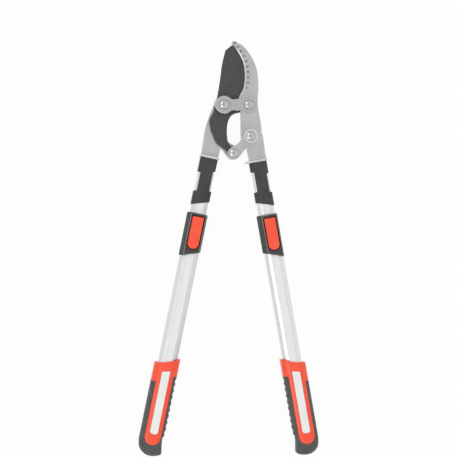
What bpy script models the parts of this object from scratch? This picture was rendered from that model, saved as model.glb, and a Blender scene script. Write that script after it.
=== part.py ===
# Telescopic bypass lopper with compound action, closed and pushed together, lying face up.
# Metres. The jaws point to +Y, the front faces +Z, and the origin is under the middle of the tool.

import math

import bmesh
import bpy
from mathutils import Matrix, Vector

# Clearances
play = 0.0003
slide_gap = 0.0003
rocker_gap = 0.0013

# Unit of the outlines that are drawn through points
millimetre = 0.001

# Bolt centres of the head, measured from the main bolt
blade_bolt = Vector((-0.0177, 0.0811))
hook_bolt = Vector((0.0245, 0.0821))
lever_bolt = Vector((0.0282, 0.0296))
main_bolt = Vector((0.0, 0.0))

# Plates of the head, from front to back
strap_thick = 0.0035
lever_plate_thick = 0.004
hook_thick = 0.005
blade_thick = 0.004
rear_plate_thick = 0.004

# Straps
strap_blade_radius = 0.015
strap_hook_radius = 0.0125
strap_waist = 0.0098

# Jaws
blade_grind = 0.0075
heel_room = 0.0024
blade_tang_radius = 0.009
hook_chamfer = 0.0022
hook_chamfer_depth = 0.0014
hook_chamfer_points = 24

# Brackets
lever_lobe_radius = 0.0134
main_lobe_radius = 0.0105
rear_lobe_radius = 0.013
foot_outer = 0.0143
foot_inner = 0.0155
flange_thick = 0.0035
flange_outer = 0.0154
flange_inner = 0.0201
flange_half_depth = 0.0118
flange_corner = 0.002
left_foot = 0.0130
right_foot = 0.0175
spigot_length = 0.046
pin_radius = 0.0024
first_pin = 0.012
pin_pitch = spigot_length - 2 * first_pin

# Bolts, nuts and spacers
shank_radius = 0.004
head_radius = 0.008
head_height = 0.0042
lever_head_radius = 0.0085
socket_radius = 0.0026
socket_depth = 0.002
nut_radius = 0.0075
nut_height = 0.004
shank_end = 0.0004
washer_radius = 0.0125
washer_thick = 0.0012
blade_spacer_radius = 0.010
main_spacer_radius = 0.0085
hook_bush_radius = 0.0075
lever_slot_half_width = 0.0057
lever_slot_up = 0.0130
lever_slot_down = 0.0048

# Handles
handle_angle = math.radians(10.82)
handle_offset = 0.0386
tube_half_width = 0.0134
tube_half_thick = 0.0095
tube_flat = 0.0066
tube_side = 0.0046
inner_wall = 0.0015
outer_wall = 0.0016
tube_room = 0.081
plug_length = 0.018
plug_rim = 0.003
lock_hole_count = 5
lock_hole_pitch = 0.050
lock_hole_radius = 0.0034

# Sleeve over the top of the inner tube
sleeve_wall = 0.0014
sleeve_side_trim = 0.0006
sleeve_half_width = tube_half_width + play + sleeve_wall - sleeve_side_trim
tongue_inset = 0.0030
tongue_half_width = tube_half_width - tongue_inset
window_top_inner = 0.0368
window_top_outer = 0.0418
window_end_inner = 0.0718
window_end_outer = 0.0748
sleeve_end_inner = 0.0891
sleeve_end_outer = 0.0977

# Lock housing and rocker
housing_top = 0.1112
housing_end_inner = 0.1749
housing_end_outer = 0.1855
housing_half_width = 0.0170
housing_front = 0.022
housing_front_flat = 0.013
housing_back = 0.0142
housing_back_flat = 0.010
housing_side_low = -0.0075
housing_side_high = 0.0035
housing_corner = 0.0017
outer_tube_top = 0.146
rocker_top = 0.117
rocker_end = 0.1712
rocker_half_width = 0.0092
rocker_thick = 0.0045
rocker_rise = 0.0003
rocker_travel = 0.0035
rocker_pivot = 0.140
rocker_pivot_height = 0.0176
rocker_lug_radius = 0.0028
rocker_lug_half_width = 0.006
rocker_pin_radius = 0.0015
rocker_pin_seat = 0.0022
lock_pin_at = 0.124
lock_pin_radius = 0.003
lock_pin_room = 0.001
spring_at = 0.161
spring_radius = 0.0030
spring_wire = 0.0003
spring_turns = 4
spring_pocket = 0.0020

# Grip
grip_half_thick = 0.017
grip_half_width = 0.0208
grip_shift = 0.0005
grip_corner = 0.011
grip_trim = 0.0003
grip_spare = 0.010
grip_top = 0.3555
grip_slant = 0.0129
grip_collar = 0.0302
grip_length = 0.1673
grip_pommel = 0.0193
grip_tongue_half_width = 0.0136
tube_from_end = 0.0118
finger_count = 10
finger_depth = 0.0014
finger_from_step = 0.0023
finger_from_end = 0.0268
inlay_half_width = 0.0067
inlay_from_top = 0.0225
inlay_slant = 0.0028
inlay_from_end = 0.0376
inlay_corner = 0.0045
inlay_thick = 0.0016

# Facets
arc_steps = 8
flow_steps = 4
turn_steps = 20

# Heights that follow; those of the plates' faces are measured from the plane between the jaws
hook_back = play / 2
hook_front = hook_back + hook_thick
front_back = hook_front + play
strap_front = front_back + strap_thick
lever_front = front_back + lever_plate_thick
blade_front = -play / 2
blade_back = blade_front - blade_thick
rear_front = blade_back - play
rear_back = rear_front - rear_plate_thick
rear_strap_front = rear_back - play
rear_strap_back = rear_strap_front - strap_thick
strap_bolt_end = rear_strap_back - play - nut_height - shank_end
hole_radius = shank_radius + play
rocker_bottom = housing_front + rocker_rise - rocker_thick

# Sizes that follow
blade_heel_radius = (hook_bolt - blade_bolt).length - hook_bush_radius - heel_room
grip_end = grip_top + grip_length
grip_step = grip_top + grip_collar
grip_tongue_end = grip_end - grip_pommel
outer_tube_end = grip_end - tube_from_end
inner_tube_end = outer_tube_end - tube_room
finger_start = grip_step + finger_from_step
finger_end = grip_end - finger_from_end
inlay_top = grip_top + inlay_from_top
inlay_end = grip_end - inlay_from_end
axis_height = max(grip_half_thick, -strap_bolt_end)


def clear_scene():
    for item in list(bpy.data.objects):
        bpy.data.objects.remove(item, do_unlink=True)


def add_collection(name):
    group = bpy.data.collections.new(name)
    bpy.context.scene.collection.children.link(group)
    return group


def add_material(name, colour, roughness, metallic):
    made = bpy.data.materials.new(name)
    made.use_nodes = True
    shader = made.node_tree.nodes["Principled BSDF"]
    shader.inputs["Base Color"].default_value = (*colour, 1.0)
    shader.inputs["Roughness"].default_value = roughness
    shader.inputs["Metallic"].default_value = metallic
    made.diffuse_color = (*colour, 1.0)
    return made


def add_frame(name, parent, location, turn=0.0):
    frame = bpy.data.objects.new(name, None)
    frame.empty_display_size = 0.02
    frame.parent = parent
    frame.location = location
    frame.rotation_euler = (0.0, 0.0, turn)
    parts.objects.link(frame)
    return frame


# Points of outlines

def arc(centre, radius, start, end, steps=arc_steps):
    """Points from one angle to another, in degrees."""
    angles = [math.radians(start + (end - start) * i / steps) for i in range(steps + 1)]
    return [(centre[0] + radius * math.cos(a), centre[1] + radius * math.sin(a)) for a in angles]


def drawn(*points):
    """Points given in millimetres from the main bolt."""
    return [(x * millimetre, y * millimetre) for x, y in points]


def circle(centre, radius, steps=turn_steps):
    return arc(centre, radius, 0.0, 360.0, steps)[:-1]


def flow(points, steps=flow_steps):
    """A smooth curve through an open row of points."""
    row = [Vector(p) for p in points]
    row = [2 * row[0] - row[1], *row, 2 * row[-1] - row[-2]]
    made = []
    for a, b, c, d in zip(row, row[1:], row[2:], row[3:]):
        for i in range(steps):
            t = i / steps
            made.append(0.5 * (2 * b + (c - a) * t + (2 * a - 5 * b + 4 * c - d) * t ** 2
                               + (3 * b - a - 3 * c + d) * t ** 3))
    return [tuple(p) for p in made] + [tuple(row[-2])]


def bezier(start, start_pull, end_pull, end, steps=flow_steps):
    p0, p1, p2, p3 = (Vector(p) for p in (start, start_pull, end_pull, end))
    made = []
    for i in range(steps + 1):
        t = i / steps
        made.append(tuple((1 - t) ** 3 * p0 + 3 * (1 - t) ** 2 * t * p1
                          + 3 * (1 - t) * t ** 2 * p2 + t ** 3 * p3))
    return made


def rounded_box(left, right, low, high, radius, steps=4):
    corners = ((right - radius, low + radius, -90.0), (right - radius, high - radius, 0.0),
               (left + radius, high - radius, 90.0), (left + radius, low + radius, 180.0))
    return [p for x, y, a in corners for p in arc((x, y), radius, a, a + 90.0, steps)]


def rail(offset):
    """Section shared by the tubes: flat front and back with bevelled sides, grown by an offset."""
    half = [(tube_half_width, -tube_side), (tube_half_width, tube_side),
            (tube_flat, tube_half_thick), (-tube_flat, tube_half_thick)]
    base = [Vector(p) for p in half] + [Vector((-x, -y)) for x, y in half]
    made = []
    for i, point in enumerate(base):
        before = (point - base[i - 1]).normalized()
        after = (base[(i + 1) % len(base)] - point).normalized()
        normal = Vector((before.y, -before.x)) + Vector((after.y, -after.x))
        made.append(point + normal * (offset / (1.0 + before.dot(after))))
    return [tuple(p) for p in made]


def face(points, side):
    """Outline on a handle's front: outer offset and station become local X and Y."""
    return [(side * u, -s) for u, s in points]


def grip_face(points, side):
    """Outline on a grip's front; the grip's middle lies a little outward of the tube's."""
    return face([(u + grip_shift, s) for u, s in points], side)


def on_handle(side, u, s):
    """A handle's outer offset and station as a point of the head."""
    along = Vector((side * math.sin(handle_angle), -math.cos(handle_angle)))
    across = Vector((side * math.cos(handle_angle), math.sin(handle_angle)))
    return tuple(across * (handle_offset + u) + along * s)


# Solids

def finish_mesh(mesh):
    shape = bmesh.new()
    shape.from_mesh(mesh)
    bmesh.ops.remove_doubles(shape, verts=shape.verts, dist=0.000002)
    bmesh.ops.recalc_face_normals(shape, faces=shape.faces)
    shape.to_mesh(mesh)
    shape.free()
    return mesh


def flat_solid(loops, low, high):
    """Flat outline, with its holes, given a thickness along Z."""
    data = bpy.data.curves.new("outline", "CURVE")
    data.dimensions = "2D"
    data.fill_mode = "BOTH"
    data.extrude = (high - low) / 2
    for loop in loops:
        spline = data.splines.new("POLY")
        spline.points.add(len(loop) - 1)
        for point, (x, y) in zip(spline.points, loop):
            point.co = (x, y, 0.0, 1.0)
        spline.use_cyclic_u = True
    holder = bpy.data.objects.new("outline", data)
    bpy.context.scene.collection.objects.link(holder)
    bpy.context.view_layer.update()
    seen = holder.evaluated_get(bpy.context.evaluated_depsgraph_get())
    mesh = bpy.data.meshes.new_from_object(seen)
    bpy.data.objects.remove(holder, do_unlink=True)
    bpy.data.curves.remove(data)
    mesh.transform(Matrix.Translation((0.0, 0.0, (low + high) / 2)))
    return finish_mesh(mesh)


def long_solid(loops, start, end):
    """Section, with its holes, run along a handle from one station to another."""
    mesh = flat_solid(loops, start, end)
    mesh.transform(Matrix.Rotation(math.pi / 2, 4, "X"))
    return mesh


def cross_rod(radius, half_length, station, height, steps=16):
    """Round rod across a handle."""
    mesh = flat_solid([circle((0.0, 0.0), radius, steps)], -half_length, half_length)
    mesh.transform(Matrix.Rotation(math.pi / 2, 4, "Y"))
    mesh.transform(Matrix.Translation((0.0, -station, height)))
    return mesh


def loft(rings):
    """Closed solid through outlines of equal count, each at its own height."""
    shape = bmesh.new()
    rows = [[shape.verts.new((x, y, z)) for x, y in outline] for outline, z in rings]
    for low, high in zip(rows, rows[1:]):
        for i in range(len(low)):
            shape.faces.new((low[i - 1], low[i], high[i], high[i - 1]))
    shape.faces.new(list(reversed(rows[0])))
    shape.faces.new(rows[-1])
    bmesh.ops.triangulate(shape, faces=[f for f in shape.faces if len(f.verts) > 4])
    mesh = bpy.data.meshes.new("loft")
    shape.to_mesh(mesh)
    shape.free()
    return finish_mesh(mesh)


def add_solid(name, mesh, parent, material, group=None):
    mesh.name = name
    mesh.materials.clear()
    mesh.materials.append(material)
    solid = bpy.data.objects.new(name, mesh)
    solid.parent = parent
    (group or parts).objects.link(solid)
    return solid


def shape_with(solid, operation, mesh, parent=None):
    """Join to, cut from or keep the common part of a solid and a helper shape."""
    name = f"{solid.name}.{operation.lower()}.{len(solid.modifiers)}"
    helper = add_solid(name, mesh, parent or solid.parent, solid.data.materials[0], cutters)
    helper.location = solid.location if parent is None else (0.0, 0.0, 0.0)
    helper.display_type = "WIRE"
    helper.hide_render = True
    step = solid.modifiers.new(operation.title(), "BOOLEAN")
    step.operation = operation
    step.solver = "EXACT"
    step.object = helper
    return solid


def turned(name, profile, parent, place, material):
    """Round piece about a line along Z, from an outer profile that runs from top to bottom."""
    mesh = bpy.data.meshes.new(name)
    verts = [(r, 0.0, z) for r, z in profile]
    mesh.from_pydata(verts, [(i, i + 1) for i in range(len(verts) - 1)], [])
    solid = add_solid(name, mesh, parent, material)
    solid.location = (place[0], place[1], 0.0)
    lathe = solid.modifiers.new("Turn", "SCREW")
    lathe.steps = turn_steps
    lathe.render_steps = turn_steps
    lathe.use_merge_vertices = True
    lathe.merge_threshold = 0.00001
    return solid


# Bolts, nuts and spacers

def add_bolt(name, parent, place, seat, end, radius):
    """Domed head with a socket, seated on a face, and its shank."""
    crown = seat + head_height
    edge = seat + head_height * 0.3
    shoulder = seat + head_height * 0.8
    dome = [(radius * 0.55, crown), (radius * 0.82, shoulder), (radius, edge), (radius, seat)]
    socket = [(0.0, crown - socket_depth), (socket_radius, crown - socket_depth), (socket_radius, crown)]
    profile = socket + dome + [(shank_radius, seat), (shank_radius, end), (0.0, end)]
    return turned(name, profile, parent, place, zinc)


def add_nut(name, parent, place, top):
    corners = circle((0.0, 0.0), nut_radius, 6)
    mesh = flat_solid([corners, circle((0.0, 0.0), hole_radius, 12)], top - nut_height, top)
    nut = add_solid(name, mesh, parent, zinc)
    nut.location = (place[0], place[1], 0.0)
    return nut


def add_ring(name, parent, place, radius, low, high):
    mesh = flat_solid([circle((0.0, 0.0), radius), circle((0.0, 0.0), hole_radius)], low, high)
    ring = add_solid(name, mesh, parent, zinc)
    ring.location = (place[0], place[1], 0.0)
    return ring


# Straps

def strap_outline():
    """Two round lobes with a waist between them, along the line of the two bolts."""
    length = (hook_bolt - blade_bolt).length
    middle = length * 0.56
    spread = 48.0

    def lobe_end(centre, radius, angle):
        a = math.radians(angle)
        point = Vector((centre + radius * math.cos(a), radius * math.sin(a)))
        return point, Vector((math.sin(a), -math.cos(a)))

    big, big_way = lobe_end(0.0, strap_blade_radius, spread)
    small, small_way = lobe_end(length, strap_hook_radius, 180.0 - spread)
    waist = Vector((middle, strap_waist))
    pull = length * 0.14
    upper = bezier(big, big + big_way * pull, waist - Vector((pull, 0.0)), waist)
    upper += bezier(waist, waist + Vector((pull, 0.0)), small - small_way * pull, small)[1:]
    right = arc((length, 0.0), strap_hook_radius, 180.0 - spread, spread - 180.0, 14)
    left = arc((0.0, 0.0), strap_blade_radius, -spread, spread - 360.0, 16)
    return upper + right[1:-1] + [(x, -y) for x, y in reversed(upper)] + left[1:-1]


def add_strap(name, low, high):
    line = hook_bolt - blade_bolt
    holes = [circle((0.0, 0.0), hole_radius), circle((line.length, 0.0), hole_radius)]
    strap = add_solid(name, flat_solid([strap_outline()] + holes, low, high), strap_frame, satin_steel)
    strap.rotation_euler = (0.0, 0.0, math.atan2(line.y, line.x))
    return strap


# Jaws

def inset(outline, first, last, amount):
    """Move part of a counterclockwise outline inward, easing in and out at its two ends."""
    made = []
    for i, point in enumerate(outline):
        if not first <= i <= last:
            made.append(point)
            continue
        before, after = Vector(outline[i - 1]), Vector(outline[(i + 1) % len(outline)])
        way = (after - before).normalized()
        ease = min(1.0, (i - first) / 3.0, (last - i) / 3.0)
        made.append(tuple(Vector(point) + Vector((-way.y, way.x)) * amount * ease))
    return made


def add_blade():
    heel = arc(blade_bolt, blade_heel_radius, -16.0, 24.0, 5)
    edge = flow([heel[-1]] + drawn((18.2, 106.0), (22.8, 121.0), (23.6, 137.0), (20.0, 152.0),
                                   (12.0, 167.0), (3.0, 177.0), (-4.5, 182.6)))
    spine = flow(drawn((-15.4, 173.5), (-20.8, 148.9), (-23.8, 123.6), (-28.5, 93.2), (-34.1, 69.6),
                       (-40.4, 56.0), (-38.7, 40.9), (-34.4, 29.2), (-28.3, 16.6)), 3)
    tang = arc(main_bolt, blade_tang_radius, 165.0, 430.0, 12)
    inner = flow(drawn((-5.0, 13.0), (-9.1, 19.5), (-10.9, 30.5), (-11.2, 41.5), (-10.0, 51.5),
                       (-6.5, 60.5), (0.5, 66.6), (9.5, 69.0)), 3)
    outline = heel + edge[1:] + spine + tang + inner
    first = len(heel) - 1
    ground = inset(outline, first, first + len(edge) - 1, blade_grind)
    mesh = loft([(ground, blade_back), (outline, blade_front)])
    blade = add_solid("blade", mesh, head_frame, blade_coat)
    for centre in (blade_bolt, main_bolt):
        shape_with(blade, "DIFFERENCE", flat_solid([circle(centre, hole_radius)], blade_back - play,
                                                   blade_front + play))
    return blade


def add_hook():
    outer = flow(drawn((40.0, 17.0), (45.8, 29.0), (46.9, 40.3), (44.9, 54.8), (40.8, 75.8),
                       (39.6, 95.0), (40.7, 107.6), (38.8, 135.2), (32.7, 154.6), (22.5, 171.1),
                       (11.3, 182.3), (-4.0, 189.3)), 3)
    inner = flow(drawn((-5.6, 185.0), (6.9, 167.9), (14.5, 152.9), (17.4, 134.9), (17.0, 119.9),
                       (14.8, 107.9), (7.4, 93.7), (8.2, 80.0), (10.5, 70.2), (11.9, 31.5)), 4)
    tail = arc(lever_bolt, (lever_bolt - Vector(drawn((11.9, 27.0))[0])).length, 200.0, 300.0, 7)
    outline = outer + inner + tail
    first = len(outer) + 1
    bevelled = inset(outline, first, first + hook_chamfer_points, hook_chamfer)
    shoulder = hook_front - hook_chamfer_depth
    mesh = loft([(outline, hook_back), (outline, shoulder), (bevelled, hook_front)])
    mesh.transform(Matrix.Translation((-hook_bolt.x, -hook_bolt.y, 0.0)))
    hook = add_solid("hook", mesh, hook_frame, satin_steel)
    low, high = hook_back - play, hook_front + play
    shape_with(hook, "DIFFERENCE", flat_solid([circle((0.0, 0.0), hole_radius)], low, high))
    centre = lever_bolt - hook_bolt
    ends = lever_slot_up - lever_slot_half_width, lever_slot_down - lever_slot_half_width
    slot = arc((centre.x, centre.y + ends[0]), lever_slot_half_width, 0.0, 180.0, 10)
    slot += arc((centre.x, centre.y - ends[1]), lever_slot_half_width, 180.0, 360.0, 10)
    shape_with(hook, "DIFFERENCE", flat_solid([slot], low, high))
    return hook


# Brackets

def add_foot(bracket, frame, side, foot):
    """Flange across the tube's end and the spigot that fills the tube."""
    box = rounded_box(-flange_inner, flange_outer, -flange_half_depth, flange_half_depth, flange_corner)
    box = [(side * u, z) for u, z in box]
    shape_with(bracket, "UNION", long_solid([box], foot, foot + flange_thick), frame)
    spigot = rail(-inner_wall - play)
    start = foot + flange_thick / 2
    shape_with(bracket, "UNION", long_solid([spigot], start, foot + flange_thick + spigot_length), frame)
    shape_with(bracket, "DIFFERENCE", pin_holes(foot), frame)


def pin_stations(foot):
    return [foot + flange_thick + first_pin + i * pin_pitch for i in range(2)]


def pin_holes(foot):
    loops = [circle((0.0, -s), pin_radius + play, 12) for s in pin_stations(foot)]
    return flat_solid(loops, -tube_half_thick - play, tube_half_thick + play)


def add_rear_bracket():
    """Fixed bracket behind the blade's tang, up to the blade bolt."""
    def foot_point(u, s):
        return on_handle(-1, u, s)

    bottom = [foot_point(foot_outer, left_foot + flange_thick / 2),
              foot_point(-foot_inner, left_foot + flange_thick / 2)]
    notch = drawn((-20.8, 8.8))
    pivot = arc(main_bolt, main_lobe_radius, 215.0, 385.0, 9)
    inner = flow(drawn((2.0, 14.0), (-12.0, 23.0), (-15.0, 36.0), (-13.8, 50.0), (-8.0, 66.0)), 3)
    crown = arc(blade_bolt, rear_lobe_radius, -25.0, 125.0, 8)
    outer = flow(drawn((-34.0, 80.0), (-41.2, 61.9), (-48.0, 38.6), (-52.2, 8.0)), 3)
    outline = bottom + notch + pivot + inner + crown + outer
    holes = [circle(blade_bolt, hole_radius), circle(main_bolt, hole_radius)]
    mesh = flat_solid([outline] + holes, rear_back, rear_front)
    bracket = add_solid("left_bracket", mesh, head_frame, satin_steel)
    add_foot(bracket, left_frame, -1, left_foot)
    return bracket


def add_lever_bracket():
    """Moving bracket in front: a lobe on the main bolt, a lobe on the lever bolt and the foot."""
    def foot_point(u, s):
        return on_handle(1, u, s)

    bottom = [foot_point(-foot_inner, right_foot + flange_thick / 2),
              foot_point(foot_outer, right_foot + flange_thick / 2)]
    outer = flow(drawn((52.8, 3.9), (50.0, 22.5), (47.2, 34.5), (42.0, 38.5)), 3)
    crown = arc(lever_bolt, lever_lobe_radius, 55.0, 165.0, 8)
    inner = flow(drawn((13.4, 27.1), (7.9, 18.2), (0.0, 12.5)), 3)
    pivot = arc(main_bolt, main_lobe_radius, 115.0, 325.0, 12)
    notch = drawn((20.8, 9.2))
    outline = bottom + outer + crown + inner + pivot + notch
    holes = [circle(lever_bolt, hole_radius), circle(main_bolt, hole_radius)]
    mesh = flat_solid([outline] + holes, front_back, lever_front)
    bracket = add_solid("right_bracket", mesh, lever_frame, satin_steel)
    add_foot(bracket, right_frame, 1, right_foot)
    return bracket


# Handles

def add_pins(hand, frame, foot):
    for number, station in enumerate(pin_stations(foot), 1):
        mesh = flat_solid([circle((0.0, -station), pin_radius, 12)], -tube_half_thick, tube_half_thick)
        add_solid(f"{hand}_tube_pin_{number}", mesh, frame, zinc)


def add_inner_tube(hand, frame, foot):
    start = foot + flange_thick + play
    mesh = long_solid([rail(0.0), rail(-inner_wall)], start, inner_tube_end)
    tube = add_solid(f"{hand}_inner_tube", mesh, frame, aluminium)
    shape_with(tube, "DIFFERENCE", pin_holes(foot))
    stations = [lock_pin_at + i * lock_hole_pitch for i in range(lock_hole_count)]
    loops = [circle((0.0, -s), lock_hole_radius, 14) for s in stations]
    holes = flat_solid(loops, tube_half_thick - inner_wall - play, tube_half_thick + play)
    shape_with(tube, "DIFFERENCE", holes)
    return tube


def add_tube_plug(hand, frame):
    """Plastic end of the inner tube that runs in the outer tube."""
    rim = inner_tube_end + play
    mesh = long_solid([rail(0.0)], rim, rim + plug_rim)
    plug = add_solid(f"{hand}_tube_plug", mesh, frame, dark_plastic)
    body = long_solid([rail(-inner_wall - play)], inner_tube_end - plug_length, rim + plug_rim / 2)
    return shape_with(plug, "UNION", body)


def add_sleeve(hand, frame, side, foot):
    """Moulding over the tube's top: a full wrap, a tongue between two side windows, and a collar."""
    top = foot + flange_thick + play
    collar = tube_half_width + play + sleeve_wall
    drop = 0.0012
    outline = [(-sleeve_half_width, top), (-sleeve_half_width, window_top_inner),
               (-tongue_half_width, window_top_inner + drop), (-tongue_half_width, window_end_inner - drop),
               (-collar, window_end_inner), (-collar, sleeve_end_inner),
               (collar, sleeve_end_outer), (collar, window_end_outer),
               (tongue_half_width, window_end_outer - drop), (tongue_half_width, window_top_outer + drop),
               (sleeve_half_width, window_top_outer), (sleeve_half_width, top)]
    depth = tube_half_thick + play + sleeve_wall + play
    mesh = flat_solid([face(outline, side)], -depth, depth)
    sleeve = add_solid(f"{hand}_tube_sleeve", mesh, frame, dark_plastic)
    band = [rail(play + sleeve_wall), rail(play)]
    return shape_with(sleeve, "INTERSECT", long_solid(band, 0.0, sleeve_end_outer + play))


def add_outer_tube(hand, slide):
    section = [rail(slide_gap + outer_wall), rail(slide_gap)]
    mesh = long_solid(section, outer_tube_top, outer_tube_end)
    return add_solid(f"{hand}_outer_tube", mesh, slide, aluminium)


def rocker_outline(grow):
    """Square top and round bottom of the lock button, grown by its gap."""
    half = rocker_half_width + grow
    top = rocker_top - grow
    turn = rocker_end - rocker_half_width
    corner = 0.0012
    points = [(-half, top + corner), (-half + corner, top), (half - corner, top), (half, top + corner)]
    return points + arc((0.0, turn), half, 0.0, 180.0, 12)


def add_housing(hand, slide, side):
    """Moulded housing: the inner tube slides in its upper bore and the outer tube sits in its lower one."""
    c = housing_corner
    w = housing_half_width
    outline = [(-w, housing_top + c), (-w + c, housing_top), (w - c, housing_top), (w, housing_top + c),
               (w, housing_end_outer - c), (w - c, housing_end_outer - c * 0.3),
               (-w + c, housing_end_inner + c * 0.4), (-w, housing_end_inner - c * 0.5)]
    low, high = -housing_back - play, housing_front + play
    mesh = flat_solid([face(outline, side)], low, high)
    housing = add_solid(f"{hand}_lock_housing", mesh, slide, dark_plastic)
    half = [(housing_back_flat, -housing_back), (w, housing_side_low), (w, housing_side_high),
            (housing_front_flat, housing_front)]
    section = half + [(-x, z) for x, z in reversed(half)]
    shape_with(housing, "INTERSECT", long_solid([section], housing_top - play, housing_end_outer + play))
    through = long_solid([rail(slide_gap)], housing_top - play, housing_end_outer + play)
    shape_with(housing, "DIFFERENCE", through)
    section = rail(slide_gap + outer_wall + play)
    seat = long_solid([section], outer_tube_top - play, housing_end_outer + play)
    shape_with(housing, "DIFFERENCE", seat)
    floor = rocker_bottom - rocker_travel
    recess = flat_solid([face(rocker_outline(rocker_gap), side)], floor, housing_front + play)
    shape_with(housing, "DIFFERENCE", recess)
    well = [circle((0.0, -lock_pin_at), lock_pin_radius + lock_pin_room, 16)]
    shape_with(housing, "DIFFERENCE", flat_solid(well, tube_half_thick - play, floor + play))
    reach = rocker_half_width + rocker_gap + rocker_pin_seat
    bore = cross_rod(rocker_pin_radius + play, reach, rocker_pivot, rocker_pivot_height)
    return shape_with(housing, "DIFFERENCE", bore)


def add_rocker(hand, slide, side):
    """Lock button that rocks on its cross pin; the pin under its top end drops into the tube's holes."""
    frame = add_frame(f"{hand}_rocker_axis", slide, (0.0, -rocker_pivot, rocker_pivot_height))
    mesh = flat_solid([face(rocker_outline(0.0), side)], rocker_bottom, housing_front + rocker_rise)
    button = add_solid(f"{hand}_lock_button", mesh, slide, orange_plastic)
    shape_with(button, "UNION", cross_rod(rocker_lug_radius, rocker_lug_half_width, rocker_pivot,
                                          rocker_pivot_height))
    pin = [circle((0.0, -lock_pin_at), lock_pin_radius, 14)]
    tip = tube_half_thick + play
    shape_with(button, "UNION", flat_solid(pin, tip, rocker_bottom + rocker_thick / 2))
    bore = cross_rod(rocker_pin_radius + play, rocker_half_width + play, rocker_pivot, rocker_pivot_height)
    shape_with(button, "DIFFERENCE", bore)
    round_well = circle((0.0, -spring_at), spring_radius + spring_wire + 2 * play, 16)
    pocket = flat_solid([round_well], rocker_bottom - play, rocker_bottom + spring_pocket)
    shape_with(button, "DIFFERENCE", pocket)
    length = rocker_half_width + rocker_gap + rocker_pin_seat - play
    mesh = cross_rod(rocker_pin_radius, length, rocker_pivot, rocker_pivot_height)
    add_solid(f"{hand}_button_pin", mesh, slide, zinc)
    button.parent = frame
    button.location = (0.0, rocker_pivot, -rocker_pivot_height)
    return button


def add_spring(hand, slide):
    """Small coil that pushes the round end of the button up."""
    low = rocker_bottom - rocker_travel + play + spring_wire
    high = rocker_bottom + spring_pocket - play - spring_wire
    per_turn = 10
    count = spring_turns * per_turn
    data = bpy.data.curves.new(f"{hand}_button_spring", "CURVE")
    data.dimensions = "3D"
    data.bevel_depth = spring_wire
    data.bevel_resolution = 1
    data.use_fill_caps = True
    spline = data.splines.new("POLY")
    spline.points.add(count)
    for i, point in enumerate(spline.points):
        turn = 2 * math.pi * i / per_turn
        x, y = spring_radius * math.cos(turn), spring_radius * math.sin(turn)
        point.co = (x, y - spring_at, low + (high - low) * i / count, 1.0)
    spring = bpy.data.objects.new(f"{hand}_button_spring", data)
    spring.parent = slide
    data.materials.append(zinc)
    parts.objects.link(spring)
    print(hand, "button spring, least gap between curls:", (high - low) / spring_turns - 2 * spring_wire)
    return spring


# Grips

def grip_section(side):
    box = rounded_box(-grip_half_width, grip_half_width, -grip_half_thick, grip_half_thick, grip_corner, 5)
    box = [(x + side * grip_shift, z) for x, z in box]
    return long_solid([box], grip_top - grip_spare, grip_end + grip_spare)


def grip_bore():
    section = rail(slide_gap + outer_wall + play)
    return long_solid([section], grip_top - grip_spare, outer_tube_end + play)


def add_grip_core(hand, slide, side):
    """Hard body: a full collar on top and a tongue with a round end on the front and the back."""
    width = grip_half_width - grip_trim
    half = grip_tongue_half_width
    top = flow([(-width, grip_top), (-0.45 * width, grip_top + 0.38 * grip_slant),
                (0.12 * width, grip_top + 0.68 * grip_slant), (width, grip_top + grip_slant)])
    outline = top + [(width, grip_step + grip_slant), (half, grip_step + grip_slant)]
    outline += arc((0.0, grip_tongue_end - half), half, 0.0, 180.0, 12)
    outline += [(-half, grip_step), (-width, grip_step)]
    depth = grip_half_thick + play
    mesh = flat_solid([grip_face(outline, side)], -depth, depth)
    core = add_solid(f"{hand}_grip_core", mesh, slide, orange_plastic)
    shape_with(core, "INTERSECT", grip_section(side))
    shape_with(core, "DIFFERENCE", grip_bore())
    pocket = flat_solid([grip_face(inlay_outline(play), side)], grip_half_thick - inlay_thick - play, depth)
    return shape_with(core, "DIFFERENCE", pocket)


def finger_wave():
    """Inner side of the grip, from the pommel up: finger hollows on a line that flares below them."""
    points = []
    steps = finger_count * 5
    for i in range(steps + 1):
        share = i / steps
        station = finger_end + (finger_start - finger_end) * share
        draw_in = 0.0028 * max(0.0, 1.0 - share / 0.22) ** 2
        hollow = finger_depth * (1.0 - math.cos(2 * math.pi * finger_count * share)) / 2
        points.append((-grip_half_width + grip_trim + draw_in + hollow, station))
    return points


def add_overmould(hand, slide, side):
    """Soft skin down both sides and round the end, with finger hollows on the inner side."""
    width = grip_half_width - grip_trim
    end = grip_end
    outer = flow([(width, grip_step + grip_slant + play), (width, end - 0.033), (0.0201, end - 0.0218),
                  (0.0168, end - 0.0100), (0.0100, end - 0.0034), (0.0030, end - 0.0004),
                  (-0.0050, end), (-0.0128, end - 0.0016), (-0.0187, end - 0.0040)])
    heel = flow([(-0.0187, end - 0.0040), (-0.0204, end - 0.0060), (-0.0206, end - 0.0090),
                 (-0.0192, end - 0.0170), finger_wave()[0]], 3)
    tongue = grip_tongue_half_width + play
    inside = arc((0.0, grip_tongue_end - grip_tongue_half_width), tongue, 180.0, 0.0, 12)
    outline = outer + heel[1:-1] + finger_wave() + [(-width, grip_step + play)]
    outline += [(-tongue, grip_step + play)] + inside + [(tongue, grip_step + grip_slant + play)]
    depth = grip_half_thick + play
    mesh = flat_solid([grip_face(outline, side)], -depth, depth)
    skin = add_solid(f"{hand}_grip_overmould", mesh, slide, soft_grip)
    shape_with(skin, "INTERSECT", grip_section(side))
    return shape_with(skin, "DIFFERENCE", grip_bore())


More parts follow.
